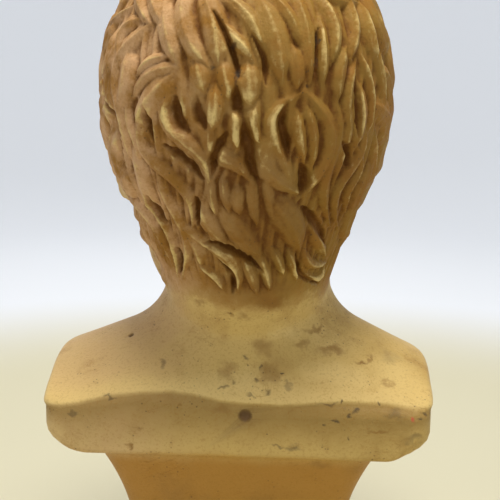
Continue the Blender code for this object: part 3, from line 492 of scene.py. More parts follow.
def seen_from_back(x, y):
    """Points of the smooth bust at places of the photograph."""
    across, upward, back = view_axes()
    eye = VIEW_TARGET + VIEW_DISTANCE * back
    shift_x = ((x - VIEW_WIDTH / 2) / VIEW_FOCAL)[..., None]
    shift_y = ((VIEW_WIDTH / 2 - y) / VIEW_FOCAL)[..., None]
    ray = unit(shift_x * across + shift_y * upward - back)
    reach = np.full(x.shape, 0.72 * VIEW_DISTANCE)
    for _ in range(40):
        reach = reach + 0.85 * bust_field(eye + reach[..., None] * ray)
    points = eye + np.minimum(reach, 1.05 * VIEW_DISTANCE)[..., None] * ray
    for _ in range(3):
        points = points - bust_field(points)[..., None] * field_normals(points)
    return points


def bowed(root_x, root_y, tip_x, tip_y, bow, sway):
    """A curve from root to tip in photograph pixels that bows to its left as seen, or sways
    to the left and then to the right."""
    share = np.linspace(0.0, 1.0, LOCK_STEPS)
    run_x, run_y = tip_x - root_x, tip_y - root_y
    length = np.hypot(run_x, run_y)
    swell = bow * np.sin(np.pi * share) + sway * np.sin(2 * np.pi * share)
    return (
        root_x + run_x * share - swell * run_y / length,
        root_y + run_y * share + swell * run_x / length,
    )


def placed_on_back(strokes):
    """Paths in metres and widths in life-size millimetres of strokes placed by the photograph."""
    places = np.array([bowed(*stroke[:6]) for stroke in strokes])
    widths = [stroke[6] * 0.9 * VIEW_DISTANCE / VIEW_FOCAL / HEAD_SCALE for stroke in strokes]
    return list(seen_from_back(places[:, 0], places[:, 1])), widths


def on_head(direction):
    """Points of the smooth head in directions from the middle of the skull."""
    middle = np.array([0.0, 8.0, 30.0])
    far = np.full(direction.shape[:-1], 165.0)
    for _ in range(40):
        far = far - 0.85 * head_field(middle + far[..., None] * direction)
    return from_head(middle + far[..., None] * direction)


def crown_locks(random):
    """Locks that fall from the crown in rings, for the top, the sides and the brow."""
    turn, rise = np.radians(CROWN_TURN), np.radians(CROWN_RISE)
    crown = np.array([-np.sin(turn) * np.cos(rise), -np.cos(turn) * np.cos(rise), np.sin(rise)])
    side = unit(np.cross([0, 0, 1], crown))
    ahead = np.cross(crown, side)
    share = np.linspace(0.0, 1.0, LOCK_STEPS)
    directions, widths = [], []
    for ring in range(1, 11):
        away = RING_GAP * ring / SKULL_RADIUS
        circle = 2 * np.pi * SKULL_RADIUS * np.sin(min(away, 1.7))
        count = max(6, int(circle / SEEDED_LOCK_WIDTH / 1.12))
        for k in range(count):
            angle = 2 * np.pi * (k + 0.5 * (ring % 2) + random.uniform(-0.2, 0.2)) / count
            swirl, bow = random.uniform(-0.55, 0.55), random.uniform(-0.16, 0.16)
            length = SEEDED_LOCK_LENGTH * random.uniform(0.85, 1.25) / SKULL_RADIUS
            far = away - 0.35 * length + length * share
            bend = swirl * length * share + bow * np.sin(np.pi * share)
            bend = angle + bend / max(np.sin(min(away, 1.5)), 0.3)
            around = np.cos(bend)[:, None] * side + np.sin(bend)[:, None] * ahead
            directions.append(np.cos(far)[:, None] * crown + np.sin(far)[:, None] * around)
            widths.append(SEEDED_LOCK_WIDTH * random.uniform(0.85, 1.2))
    return directions, widths


def towards(turn, rise):
    """Directions turned from the face's front to its left and raised, both in radians."""
    return np.stack([np.sin(turn) * np.cos(rise), -np.cos(turn) * np.cos(rise), np.sin(rise)], -1)


def beard_locks(random):
    """Short curling locks in rows over the jaw and chin, and three strands to each side of the lip."""
    share = np.linspace(0.0, 1.0, LOCK_STEPS)
    directions, widths = [], []
    for row, drop in enumerate(range(-30, -84, -7)):
        around = BEARD_REACH * np.cos(np.radians(drop))
        count = int(2 * np.radians(BEARD_SPREAD) * around / (1.1 * BEARD_LOCK_WIDTH))
        for k in range(count):
            turn = BEARD_SPREAD * (2 * (k + 0.5 * (row % 2)) / (count - 0.5) - 1)
            turn_share = 1.0 / max(np.cos(np.radians(drop)), 0.35)
            hook = turn_share * (random.uniform(-6, 6) - 0.05 * turn)
            curl = turn_share * (3.5 if k % 2 else -3.5) * np.sin(2 * np.pi * share)
            fall = np.radians(drop - 0.6 * BEARD_LOCK_LENGTH * random.uniform(0.85, 1.15) * share)
            sway = np.radians(turn + hook * share + curl)
            directions.append(towards(sway, fall))
            widths.append(BEARD_LOCK_WIDTH * random.uniform(0.85, 1.2))
    for side in (-1, 1):
        for strand in range(3):
            sway = np.radians(side * (1.5 + (19.5 + 2 * strand) * share**1.1))
            fall = np.radians(-38.0 - 2.2 * strand - (15.0 - 1.5 * strand) * share**1.7)
            directions.append(towards(sway, fall))
            widths.append(MOUSTACHE_STRAND_WIDTH)
    return directions, widths


def beside_path(p, n, path, half):
    """Where points with normals n lie by a path: the share along it, and the distance and the signed
    offset from it, both measured along the surface."""
    best = np.full(len(p), 1e9)
    place, offset = np.zeros(len(p)), np.zeros(len(p))
    for k in range(len(path) - 1):
        step = path[k + 1] - path[k]
        share = np.clip((p - path[k]) @ step / (step @ step), 0.0, 1.0)
        gap = p - path[k] - share[:, None] * step
        depth = (gap * n).sum(1)
        distance = np.sqrt(np.maximum((gap**2).sum(1) - depth**2, 0.0)) + 1e3 * (np.abs(depth) > 3 * half)
        turned = (gap * np.cross(n, step)).sum(1)
        closer = distance < best
        best = np.where(closer, distance, best)
        place = np.where(closer, (k + share) / (len(path) - 1), place)
        offset = np.where(closer, distance * np.sign(turned), offset)
    return place, best, offset


def near_strokes(points, normals, strokes, overlap, margin):
    """For each stroke with points near it: which they are, its width, half of that in metres times
    the overlap, and how the points lie by it."""
    flat, facing = points.reshape(-1, 3), normals.reshape(-1, 3)
    for path, width in zip(*strokes):
        half = 0.5 * overlap * width * HEAD_SCALE
        middle = path.mean(0)
        reach = np.linalg.norm(path - middle, axis=1).max() + margin * half
        near = np.flatnonzero(((flat - middle) ** 2).sum(1) < reach**2)
        if len(near):
            yield near, width, half, beside_path(flat[near], facing[near], path, half)


def raised_locks(points, normals, strokes, lock_height, strands):
    """Height in life-size millimetres of the locks over the points. Each is a ridge that falls off
    as a parabola, so neighbours meet in creases; it rises from its root and narrows to its tip, and
    its strands are the troughs of a cosine across it."""
    out = np.full(points[..., 0].size, -LOCK_HOLLOW)
    for near, width, half, (place, distance, offset) in near_strokes(
        points, normals, strokes, LOCK_OVERLAP, 1.6
    ):
        belly = half * np.interp(place, (0, 0.15, 0.4, 0.75, 1.0), (0.55, 0.85, 1.0, 0.8, 0.3))
        full = lock_height * min(1.15, max(0.75, width / 12.0))
        crest = full * np.interp(place, (0, 0.2, 0.5, 0.8, 1.0), (-0.1, 0.75, 1.0, 0.85, 0.0))
        side = distance / belly
        fall = np.where(side < 1.0, 0.75 * side**2, 1.5 * side - 0.75)
        across = np.clip(offset / belly, -1.0, 1.0)
        groove = strands * (0.5 - 0.5 * np.cos(STRANDS * np.pi * across)) * (1.0 - across**2)
        out[near] = smooth_max(out[near], crest - (LOCK_HOLLOW + full) * fall - groove, LOCK_BLEND)
    return out.reshape(points.shape[:-1])


def sunk_hollows(points, normals, strokes):
    """Depth in life-size millimetres of the hollows over the points: a soft trough along each path."""
    out = np.zeros(points[..., 0].size)
    for near, _, half, (place, distance, _) in near_strokes(points, normals, strokes, 1.0, 1.5):
        ends = np.interp(place, (0, 0.25, 0.75, 1.0), (0.4, 1.0, 1.0, 0.4))
        trough = HOLLOW_DEPTH * ends * smooth_step(1.4, 0.2, distance / (half * ends))
        out[near] = np.maximum(out[near], trough)
    return out.reshape(points.shape[:-1])


def hair_share(points):
    """1 on the hair and beard and 0 on the skin and body, with a short run between; the hair of the
    nape fades out down the neck."""
    q = to_head(points)
    bare = np.minimum(skin_field(q), body_field(points) / HEAD_SCALE)
    hair = smooth_step(-4.0, 4.0, bare - hair_field(q)) * smooth_step(NAPE_END, NAPE_FULL, q[..., 2])
    return np.maximum(hair, smooth_step(-0.5, 6.0, bare - beard_field(q)))


def all_locks():
    """Paths and widths of every lock: those on the back, and seeded ones wherever these leave room."""
    random = np.random.default_rng(SEED)
    paths, widths = placed_on_back(BACK_LOCKS)
    seen = np.concatenate([path[2:-1] for path in paths])
    for directions, more_widths in (crown_locks(random), beard_locks(random)):
        for path, width in zip(on_head(np.array(directions)), more_widths):
            gap = np.linalg.norm(seen - path[LOCK_STEPS // 2], axis=1).min()
            on_neck = to_head(path[-1])[1] > 0 and to_head(path[-1])[2] < NAPE_FULL
            if gap > 9.0 * HEAD_SCALE and not on_neck:
                paths.append(path)
                widths.append(width)
    return paths, widths


def socle_rows(rim):
    """Rows from the middle of the underside up to the rim: plinth, waist, underside of the shoulders."""
    around = np.linspace(0, 2 * np.pi, len(rim), endpoint=False)
    cos, sin = np.cos(around), np.sin(around)
    round_off = (np.abs(cos) ** 7 + np.abs(sin) ** 7) ** (-1 / 7)

    def outline(half_x, half_y, z):
        return np.stack([half_x * cos * round_off, half_y * sin * round_off, np.full(len(rim), z)], -1)

    base_x, base_y = BASE_WIDTH / 2, BASE_DEPTH / 2
    rows = [outline(share * base_x, share * base_y, 0.0) for share in (0.0, 0.35, 0.7, 1.0)]
    for turn in np.linspace(0, np.pi / 2, 5):
        inward = PLINTH_EDGE * (1 - np.cos(turn))
        rise = PLINTH_HEIGHT - PLINTH_EDGE * (1 - np.sin(turn))
        rows.append(outline(base_x - inward, base_y - inward, rise))
    top_x, top_y = SOCLE_TOP_WIDTH / 2, SOCLE_TOP_DEPTH / 2
    waist_x, waist_y = top_x * WAIST_SHARE, top_y * (WAIST_SHARE + 0.05)
    foot_x, foot_y = base_x - PLINTH_STEP - waist_x, base_y - PLINTH_STEP - waist_y
    for share in np.linspace(0, 1, 14)[:-1]:
        rise = PLINTH_HEIGHT + (WAIST_HEIGHT - PLINTH_HEIGHT) * share
        swell = (1 - share) ** 2.2
        rows.append(outline(waist_x + foot_x * swell, waist_y + foot_y * swell, rise))
    for share in np.linspace(0, 1, 14):
        rise = WAIST_HEIGHT + (SOCLE_HEIGHT - WAIST_HEIGHT) * share
        swell = share**1.7
        row = outline(waist_x + (top_x - waist_x) * swell, waist_y + (top_y - waist_y) * swell, rise)
        row[:, 2] += SHOULDER_SLANT * row[:, 0] * share**6
        rows.append(row)
    end_corner = np.where(cos > 0, END_CORNER_LEFT, END_CORNER_RIGHT)
    corner = BACK_CORNER + (end_corner - BACK_CORNER) * smooth_step(0.72, 0.86, np.abs(cos))
    inner = rim[:, :2] - corner[:, None] * unit(rim[:, :2] - np.array([0, SHOULDER_MID_Y]))
    cut_z = SOCLE_HEIGHT + SHOULDER_SLANT * rim[:, 0]
    socle_edge = rows[-1][:, :2]
    for share in (0.35, 0.7, 1.0):
        place = socle_edge + (inner - socle_edge) * share
        level = SOCLE_HEIGHT + SHOULDER_SLANT * place[:, :1]
        rows.append(np.concatenate([place, level], 1))
    for turn in np.linspace(0, np.pi / 2, 7)[1:]:
        place = inner + (rim[:, :2] - inner) * np.sin(turn)
        z = cut_z + np.minimum(corner, rim[:, 2] - cut_z) * (1 - np.cos(turn))
        rows.append(np.concatenate([place, z[:, None]], 1))
    return np.array(rows)


def skin_of_rows(rows):
    """Vertices and faces of rows that close round, with the first and last drawn to one point."""
    height, width = rows.shape[:2]
    ring = rows[1:-1].reshape(-1, 3)
    points = np.concatenate([ring, rows[:1].mean(1), rows[-1:].mean(1)])
    column = np.arange(width)
    beside = (column + 1) % width
    base = (np.arange(height - 3) * width)[:, None]
    quads = np.stack([base + column, base + beside, base + width + beside, base + width + column], -1)
    bottom, top = len(ring), len(ring) + 1
    last = (height - 3) * width
    under = np.stack([np.full(width, bottom), beside, column], -1)
    over = np.stack([last + column, last + beside, np.full(width, top)], -1)
    return points, quads.reshape(-1, 4).tolist() + under.tolist() + over.tolist()


# The studio, in metres: where its round wall stands, the bend up to it, and what the lights face
FLOOR_RADIUS = 1.2
BEND_RADIUS = 0.5
WALL_HEIGHT = 2.0
FLOOR_COLUMNS = 96
LIGHT_AIM = Vector((0.0, 0.0, 0.11))

# Between these distances from the bust the floor passes from its own colour to the wall's
NEAR_FLOOR = 0.24
FAR_FLOOR = 0.44

# Between the locks: spacing of the broad and the fine strands and height of the broad ones, in
# life-size millimetres, and how much deeper the hollows are than on the solid
BROAD_STRAND = 8.0
FINE_STRAND = 4.2
BROAD_STRAND_HEIGHT = 1.5
HOLLOW_GAIN = 1.3

# Rounds of blurring, and how much each millimetre below the blurred surface counts as hollow
NEAR_ROUNDS = 10
WIDE_ROUNDS = 60
NEAR_SHADE = 0.15
WIDE_SHADE = 0.11

# What each point of the finished surface also carries for its patina, as shares; lip and face also carry a
# painted highlight and painted shade
FACTS = ("hair", "hollow", "pool", "pit", "lip", "face")

# How far the lip above the back's upright face stands out, in metres
LEDGE_LIP = 0.0006

# Air holes of the cast seen from behind: x and y in the photograph, radius and depth in metres
AIR_HOLES = (
    (245, 416, 1.9 * MM, 1.2 * MM),
    (234, 45, 0.75 * MM, 0.8 * MM),
    (308, 86, 0.45 * MM, 0.6 * MM),
    (131, 335, 0.9 * MM, 0.6 * MM),
)

# Stains and smudges on the back, patches of painted light and lines of painted shade: x, y, half width and
# half height in the photograph, and strength
BROWN_MARKS = (
    (199, 304, 6, 4, 0.8), (229, 315, 4, 3, 0.9), (272, 302, 24, 9, 0.9), (243, 317, 7, 5, 0.6),
    (262, 346, 11, 9, 0.5), (315, 330, 13, 3, 0.6), (331, 350, 16, 4, 0.6), (363, 361, 10, 2, 0.8),
    (388, 382, 8, 4, 0.5), (219, 409, 12, 5, 0.5), (227, 372, 9, 12, 0.45), (271, 374, 12, 11, 0.6),
    (128, 446, 4, 2, 0.8), (168, 464, 4, 2, 0.6), (380, 430, 14, 2, 0.6), (181, 408, 3, 2, 0.6),
    (322, 470, 14, 9, 0.6), (349, 491, 4, 4, 0.8), (140, 429, 4, 3, 0.4), (304, 343, 9, 3, 0.5),
)
DARK_MARKS = (
    (163, 362, 4, 3, 0.5), (111, 400, 7, 1.5, 0.6), (72, 414, 4, 3, 0.5), (329, 404, 9, 2, 0.55),
    (343, 403, 2, 3, 0.8), (356, 410, 4, 3, 0.8), (349, 416, 3, 3, 0.8), (335, 420, 3, 2.5, 0.8),
    (321, 424, 2, 2, 0.7), (350, 437, 2, 2, 0.7), (377, 402, 2, 2, 0.7), (396, 417, 9, 5, 0.4),
    (414, 439, 10, 5, 0.45), (424, 416, 4, 2, 0.9), (292, 448, 7, 3, 0.6), (279, 446, 6, 1.5, 0.5),
    (281, 373, 2, 2, 0.8), (262, 369, 3, 2, 0.6), (389, 357, 11, 8, 0.25),
    (222, 388, 4, 2, 0.6), (244, 356, 3, 2, 0.6), (256, 381, 4, 2.5, 0.6), (268, 392, 3, 2, 0.5),
    (232, 381, 3, 2, 0.5), (290, 384, 4, 2, 0.4), (250, 395, 4, 1.6, 0.5), (247, 368, 2, 2, 0.7),
    # Painted shade: near-black lines in the crown's slit, along the narrow groove to its right and under a
    # lock's tip
    (237, 73, 2, 8, 0.95), (318, 42, 1.6, 9, 0.8), (317, 62, 1.5, 5, 0.7), (213, 66, 3, 2, 0.6),
)
# Painted light: pale patches in bare plaster's colour on the shoulders' tops
PAINTED_LIGHT_MARKS = (
    (197, 388, 66, 10, 0.9), (288, 330, 20, 14, 0.8), (345, 376, 60, 18, 0.9), (395, 375, 34, 34, 0.9),
    (330, 340, 40, 22, 0.6), (246, 384, 60, 17, 0.9),
)
RED_MARKS = ((415, 420, 4, 3, 0.9),)
STAINED_MARKS = (
    (225, 175, 62, 60, 0.8), (268, 225, 60, 62, 0.9), (345, 190, 42, 80, 0.6), (262, 295, 66, 22, 0.9),
    (330, 95, 50, 40, 0.35),
)

# The edge between the top of the shoulders and the upright face below it: x and y in the photograph
LEDGE_LINE = (
    (60, 406), (78, 404), (111, 396), (142, 393), (173, 392), (193, 395), (219, 401), (244, 404),
    (282, 406), (321, 404), (346, 403), (384, 405), (418, 410),
)


def soft_blur(values, rounds):
    """The grid of values averaged with its four neighbours, once for each round; it closes round."""
    for _ in range(rounds):
        beside = np.roll(values, 1, 1) + np.roll(values, -1, 1)
        above = np.concatenate([values[:1], values[:-1]]) + np.concatenate([values[1:], values[-1:]])
        values = 0.2 * values + 0.2 * (beside + above)
    return values


def pitted(points, pits):
    """How far each point sinks, in metres, and how dark it is: each pit is a bowl, depth times the
    square root of one less the squared share of its radius, with a short soft edge."""
    depth, dark = np.zeros(points.shape[:2]), np.zeros(points.shape[:2])
    for centre, radius, deep in pits:
        share = np.linalg.norm(points - centre, axis=-1) / radius
        bowl = np.sqrt(np.clip(1.0 - share**2, 0.0, 1.0))
        depth = np.maximum(depth, deep * bowl)
        dark = np.maximum(dark, smooth_step(1.25, 0.7, share))
    return depth, dark


def strand_waves(points, spacing):
    """Fine strands that fall over the head, 0 in the grooves and 1 on the ridges: the cosine of the
    angle round the head over their spacing in life-size millimetres, swayed by two sines of the height."""
    q = to_head(points)
    turn = np.arctan2(q[..., 0], q[..., 1])
    sway = 3.4 * np.sin(q[..., 2] / 19.0 + 2.6 * turn) + 1.3 * np.sin(q[..., 2] / 8.5 + 7.0 * turn)
    away = np.hypot(q[..., 0], q[..., 1])
    shown = smooth_step(10.0, 45.0, away) * smooth_step(NAPE_FULL - 8.0, NAPE_FULL + 14.0, q[..., 2])
    return 0.5 + 0.5 * np.cos(2 * np.pi * SKULL_RADIUS * turn / spacing + sway) * shown


def back_ledge(points):
    """The shares of lip and of upright face along the back of the shoulders. The ledge's level at each
    x comes from the line seen in the photograph; the face lies below it and the lip just above. The
    patina paints a highlight on the lip and shade on the face."""
    line = seen_from_back(*np.array(LEDGE_LINE, float).T)
    line = line[np.argsort(line[:, 0])]
    drop = (np.interp(points[..., 0], line[:, 0], line[:, 2]) - points[..., 2]) / MM
    behind = smooth_step(0.008, 0.020, points[..., 1])
    face = behind * smooth_step(-0.5, 0.5, drop)
    lip = behind * smooth_step(-7.0, -0.5, drop) * smooth_step(0.7, -0.5, drop)
    return lip, face


def sculpted_bust(columns, body_rows, head_rows, lock_height, strand_depth):
    """Rows of points of the whole bust from the middle of its underside to the crown, and the shares
    of hair, hollow, pool, pit, lip and face at each. Each point of the smooth bust moves along its
    normal by the height of the locks and strands, less the troughs and air holes, plus the lip; a
    point is in a hollow as far as it lies below the blurred surface around it."""
    points = smooth_surface(even_rows(body_rows, head_rows), columns)
    normals = grid_normals(points)
    hair = hair_share(points)
    locks = raised_locks(points, normals, all_locks(), lock_height, strand_depth)
    troughs = HOLLOW_GAIN * sunk_hollows(points, normals, placed_on_back(BACK_HOLLOWS))
    broad = BROAD_STRAND_HEIGHT * strand_waves(points, BROAD_STRAND) - LOCK_HOLLOW
    locks = smooth_max(locks, broad, LOCK_BLEND)
    between = smooth_step(0.6, -1.0, locks)
    locks = locks + strand_depth * between * (strand_waves(points, FINE_STRAND) - 0.5)
    height = hair * (locks - troughs)
    hole_x, hole_y, radii, depths = np.array(AIR_HOLES, float).T
    sunk, pit = pitted(points, zip(seen_from_back(hole_x, hole_y), radii, depths))
    lip, face = back_ledge(points)
    raised = height * HEAD_SCALE - sunk + LEDGE_LIP * lip
    surface = points + raised[..., None] * normals
    near = soft_blur(height, NEAR_ROUNDS)
    wide = soft_blur(near, WIDE_ROUNDS)
    hollow = hair * (0.5 + NEAR_SHADE * (near - height) + WIDE_SHADE * (wide - height))
    pool = hair * np.clip(troughs / HOLLOW_DEPTH, 0.0, 1.0)
    socle = socle_rows(surface[0])
    plain_rows = np.zeros(socle.shape[:2])
    facts = [np.concatenate([plain_rows, rows[1:]]) for rows in (hair, hollow, pool, pit, lip, face)]
    return np.concatenate([socle, surface[1:]]), dict(zip(FACTS, facts))


def amount(name, description, default, unit="NONE"):
    """A number that isn't negative."""
    return FloatProperty(name=name, description=description, default=default, min=0.0, unit=unit)


def count(name, description, default, low):
    """A whole number that isn't under low."""
    return IntProperty(name=name, description=description, default=default, min=low)


def tint(name, description, red, green, blue):
    """A colour by its linear shares."""
    return FloatVectorProperty(
        name=name, description=description, default=(red, green, blue), subtype="COLOR", size=3
    )


class BustSizes(bpy.types.PropertyGroup):
    """Sizes of the relief that the looks add to the solid, and of its mesh"""

    lock_height: amount("Lock height", "How far locks stand out, in life-size millimetres", LOCK_HEIGHT)
    strand_depth: amount("Strand depth", "Depth of the grooves in a lock, in life-size millimetres", 0.7)
    triangles: count("Triangles", "Size of the finished mesh", 196000, 20000)
    columns: count("Columns", "Points around the bust before it is thinned", 640, 120)
    body_rows: count("Body rows", "Rows over the shoulders before it is thinned", 170, 20)
    head_rows: count("Head rows", "Rows over the head before it is thinned", 430, 60)


class PatinaColours(bpy.types.PropertyGroup):
    """Colours and finish of the patinated plaster, with tints that paint light and shade"""

    bare: tint("Bare plaster", "Where the patina is rubbed off", 0.68, 0.49, 0.18)
    rubbed: tint("Rubbed skin", "The thin patina on the shoulders and the face", 0.60, 0.41, 0.13)
    # Painted shade: a greyer tint of the thin patina where the figure's left shoulder lies in shade
    beige_shade_tint: tint("Beige skin", "The thin patina on the figure's left shoulder", 0.60, 0.41, 0.17)
    stain: tint("Stain", "The patina on open surfaces", 0.30, 0.137, 0.018)
    hollow: tint("Hollow", "The patina where it lies thick", 0.140, 0.050, 0.004)
    # The next two are partly stain and partly painted light: paler pink on the figure's left and darker
    # olive on its right, for the light that differs between the sides
    pink_stain_and_side_light: tint("Pink side", "The stain on the figure's left", 0.56, 0.33, 0.155)
    olive_stain_and_side_shade: tint("Olive side", "The stain on the figure's right", 0.29, 0.16, 0.025)
    ochre: tint("Socle", "The orange stain of the socle", 0.40, 0.18, 0.020)
    # Painted shade: the darker colour of the upright back face below the lip, which the light from above
    # reaches less
    edge: tint("Back face", "The duller patina of the upright face below the lip", 0.26, 0.155, 0.036)
    brown: tint("Brown marks", "Stains on the shoulders and the neck", 0.23, 0.11, 0.02)
    pit: tint("Air holes", "The stained inside of the cast's air holes", 0.115, 0.055, 0.020)
    # Dirt for specks and smudges, and also the near-black of painted shade in narrow crevices of the hair
    dirt_and_crevice_shade: tint("Dirt", "Specks and smudges", 0.060, 0.040, 0.022)
    red: tint("Red mark", "A touch of red on the back", 0.50, 0.10, 0.05)
    roughness: amount("Roughness", "Of the open patina", 0.44)


class StudioSizes(bpy.types.PropertyGroup):
    """Light and colours of the studio"""

    key_power: amount("Key light", "The soft light above", 4.5, "POWER")
    fill_power: amount("Fill light", "The broad light on the figure's left", 0.2, "POWER")
    front_power: amount("Front light", "The light before the face", 0.8, "POWER")
    sky: amount("Sky", "Strength of the light from all round", 0.33)
    glow: amount("Glow", "Light given off by the floor and the backdrop", 0.34)
    floor_colour: tint("Floor", "Colour of the floor near the bust", 0.50, 0.475, 0.34)
    wall_colour: tint("Backdrop", "Colour of the far floor and the backdrop", 0.66, 0.69, 0.74)


class Graph:
    """A short way to write a material: each call adds a node and returns one of its outputs."""

    def __init__(self, name):
        self.material = bpy.data.materials.new(name)
        self.material.use_nodes = True
        self.place = self.node("TexCoord", {}, "Object")

    def feed(self, node, inputs):
        """Link a socket, or set a value, on each of a node's named or numbered inputs."""
        for key, value in inputs.items():
            if isinstance(value, bpy.types.NodeSocket):
                self.material.node_tree.links.new(value, node.inputs[key])
            else:
                node.inputs[key].default_value = value

    def node(self, kind, inputs, output=0, **settings):
        node = self.material.node_tree.nodes.new("ShaderNode" + kind)
        for name, value in settings.items():
            setattr(node, name, value)
        self.feed(node, inputs)
        return node.outputs[output]

    def finish(self, inputs):
        """The material, with these inputs of its shader fed."""
        self.feed(self.material.node_tree.nodes["Principled BSDF"], inputs)
        return self.material

    def math(self, operation, a, b=0.0):
        return self.node("Math", {0: a, 1: b}, operation=operation)

    def times(self, a, b, plus=0.0):
        """a times b, plus a third."""
        return self.node("Math", {0: a, 1: b, 2: plus}, operation="MULTIPLY_ADD")

    def mix(self, share, a, b, most=1.0):
        """The way from colour a to colour b by the share times most."""
        share = share if most == 1.0 else self.times(share, most)
        a, b = (v if isinstance(v, bpy.types.NodeSocket) else (*v[:3], 1.0) for v in (a, b))
        return self.node("Mix", {0: share, 6: a, 7: b}, 2, data_type="RGBA")

    def step(self, value, low, high):
        """0 at low and 1 at high, with a smooth run between."""
        return self.node("MapRange", {0: value, 1: low, 2: high}, interpolation_type="SMOOTHSTEP")

    def noise(self, scale, detail, roughness=0.55, stretch=None, turn=(0, 0, 0)):
        """A noise from 0 to 1, stretched along the turned axes where that is asked for."""
        place = self.place
        if stretch:
            drawn = {"Vector": place, "Rotation": turn, "Scale": stretch}
            place = self.node("Mapping", drawn, vector_type="TEXTURE")
        inputs = {"Vector": place, "Scale": scale, "Detail": detail, "Roughness": roughness}
        return self.node("TexNoise", inputs)

    def speck(self, scale, size):
        """1 inside small round specks of a share of the cell, 0 outside."""
        away = self.node("TexVoronoi", {"Vector": self.place, "Scale": scale}, "Distance")
        return self.step(away, size, 0.4 * size)

    def mark(self, place, centre, radii, strength):
        """Strength inside an ellipsoid at centre with those half sizes, with a soft edge, 0 outside."""
        radii = np.array(radii)
        place = self.node("Mapping", {"Vector": place, "Location": -centre / radii, "Scale": 1.0 / radii})
        away = self.node("VectorMath", {0: place}, "Value", operation="LENGTH")
        return self.times(self.step(away, 1.3, 0.2), strength)

    def marks(self, place, spots):
        """The strongest of the marks placed by the photograph, each an ellipsoid 4 mm deep or more."""
        spots = np.array(spots, float)
        pixel = VIEW_DISTANCE / VIEW_FOCAL
        strongest = 0.0
        for centre, (_, _, wide, high, strength) in zip(seen_from_back(*spots[:, :2].T), spots):
            radii = (wide * pixel, max(4 * MM, high * pixel), max(high, 1.5) * pixel)
            strongest = self.math("MAXIMUM", self.mark(place, centre, radii, strength), strongest)
        return strongest

    def ragged(self, scale, shift):
        """The place, moved by up to half the shift in all directions by a noise."""
        noise = self.node("TexNoise", {"Vector": self.place, "Scale": scale, "Detail": 4.0}, "Color")
        inputs = {0: noise, 1: [shift] * 3, 2: self.place}
        moved = self.node("VectorMath", inputs, operation="MULTIPLY_ADD")
        return self.node("VectorMath", {0: moved, 1: [shift / 2] * 3}, operation="SUBTRACT")

    def attribute(self, name):
        return self.node("Attribute", {}, "Fac", attribute_name=name)

    def axis(self, index):
        return self.node("SeparateXYZ", {0: self.place}, index)

    def bump(self, height, distance, **under):
        """The normals of a height of at most the distance, over those underneath."""
        return self.node("Bump", {"Height": height, "Distance": distance, **under})


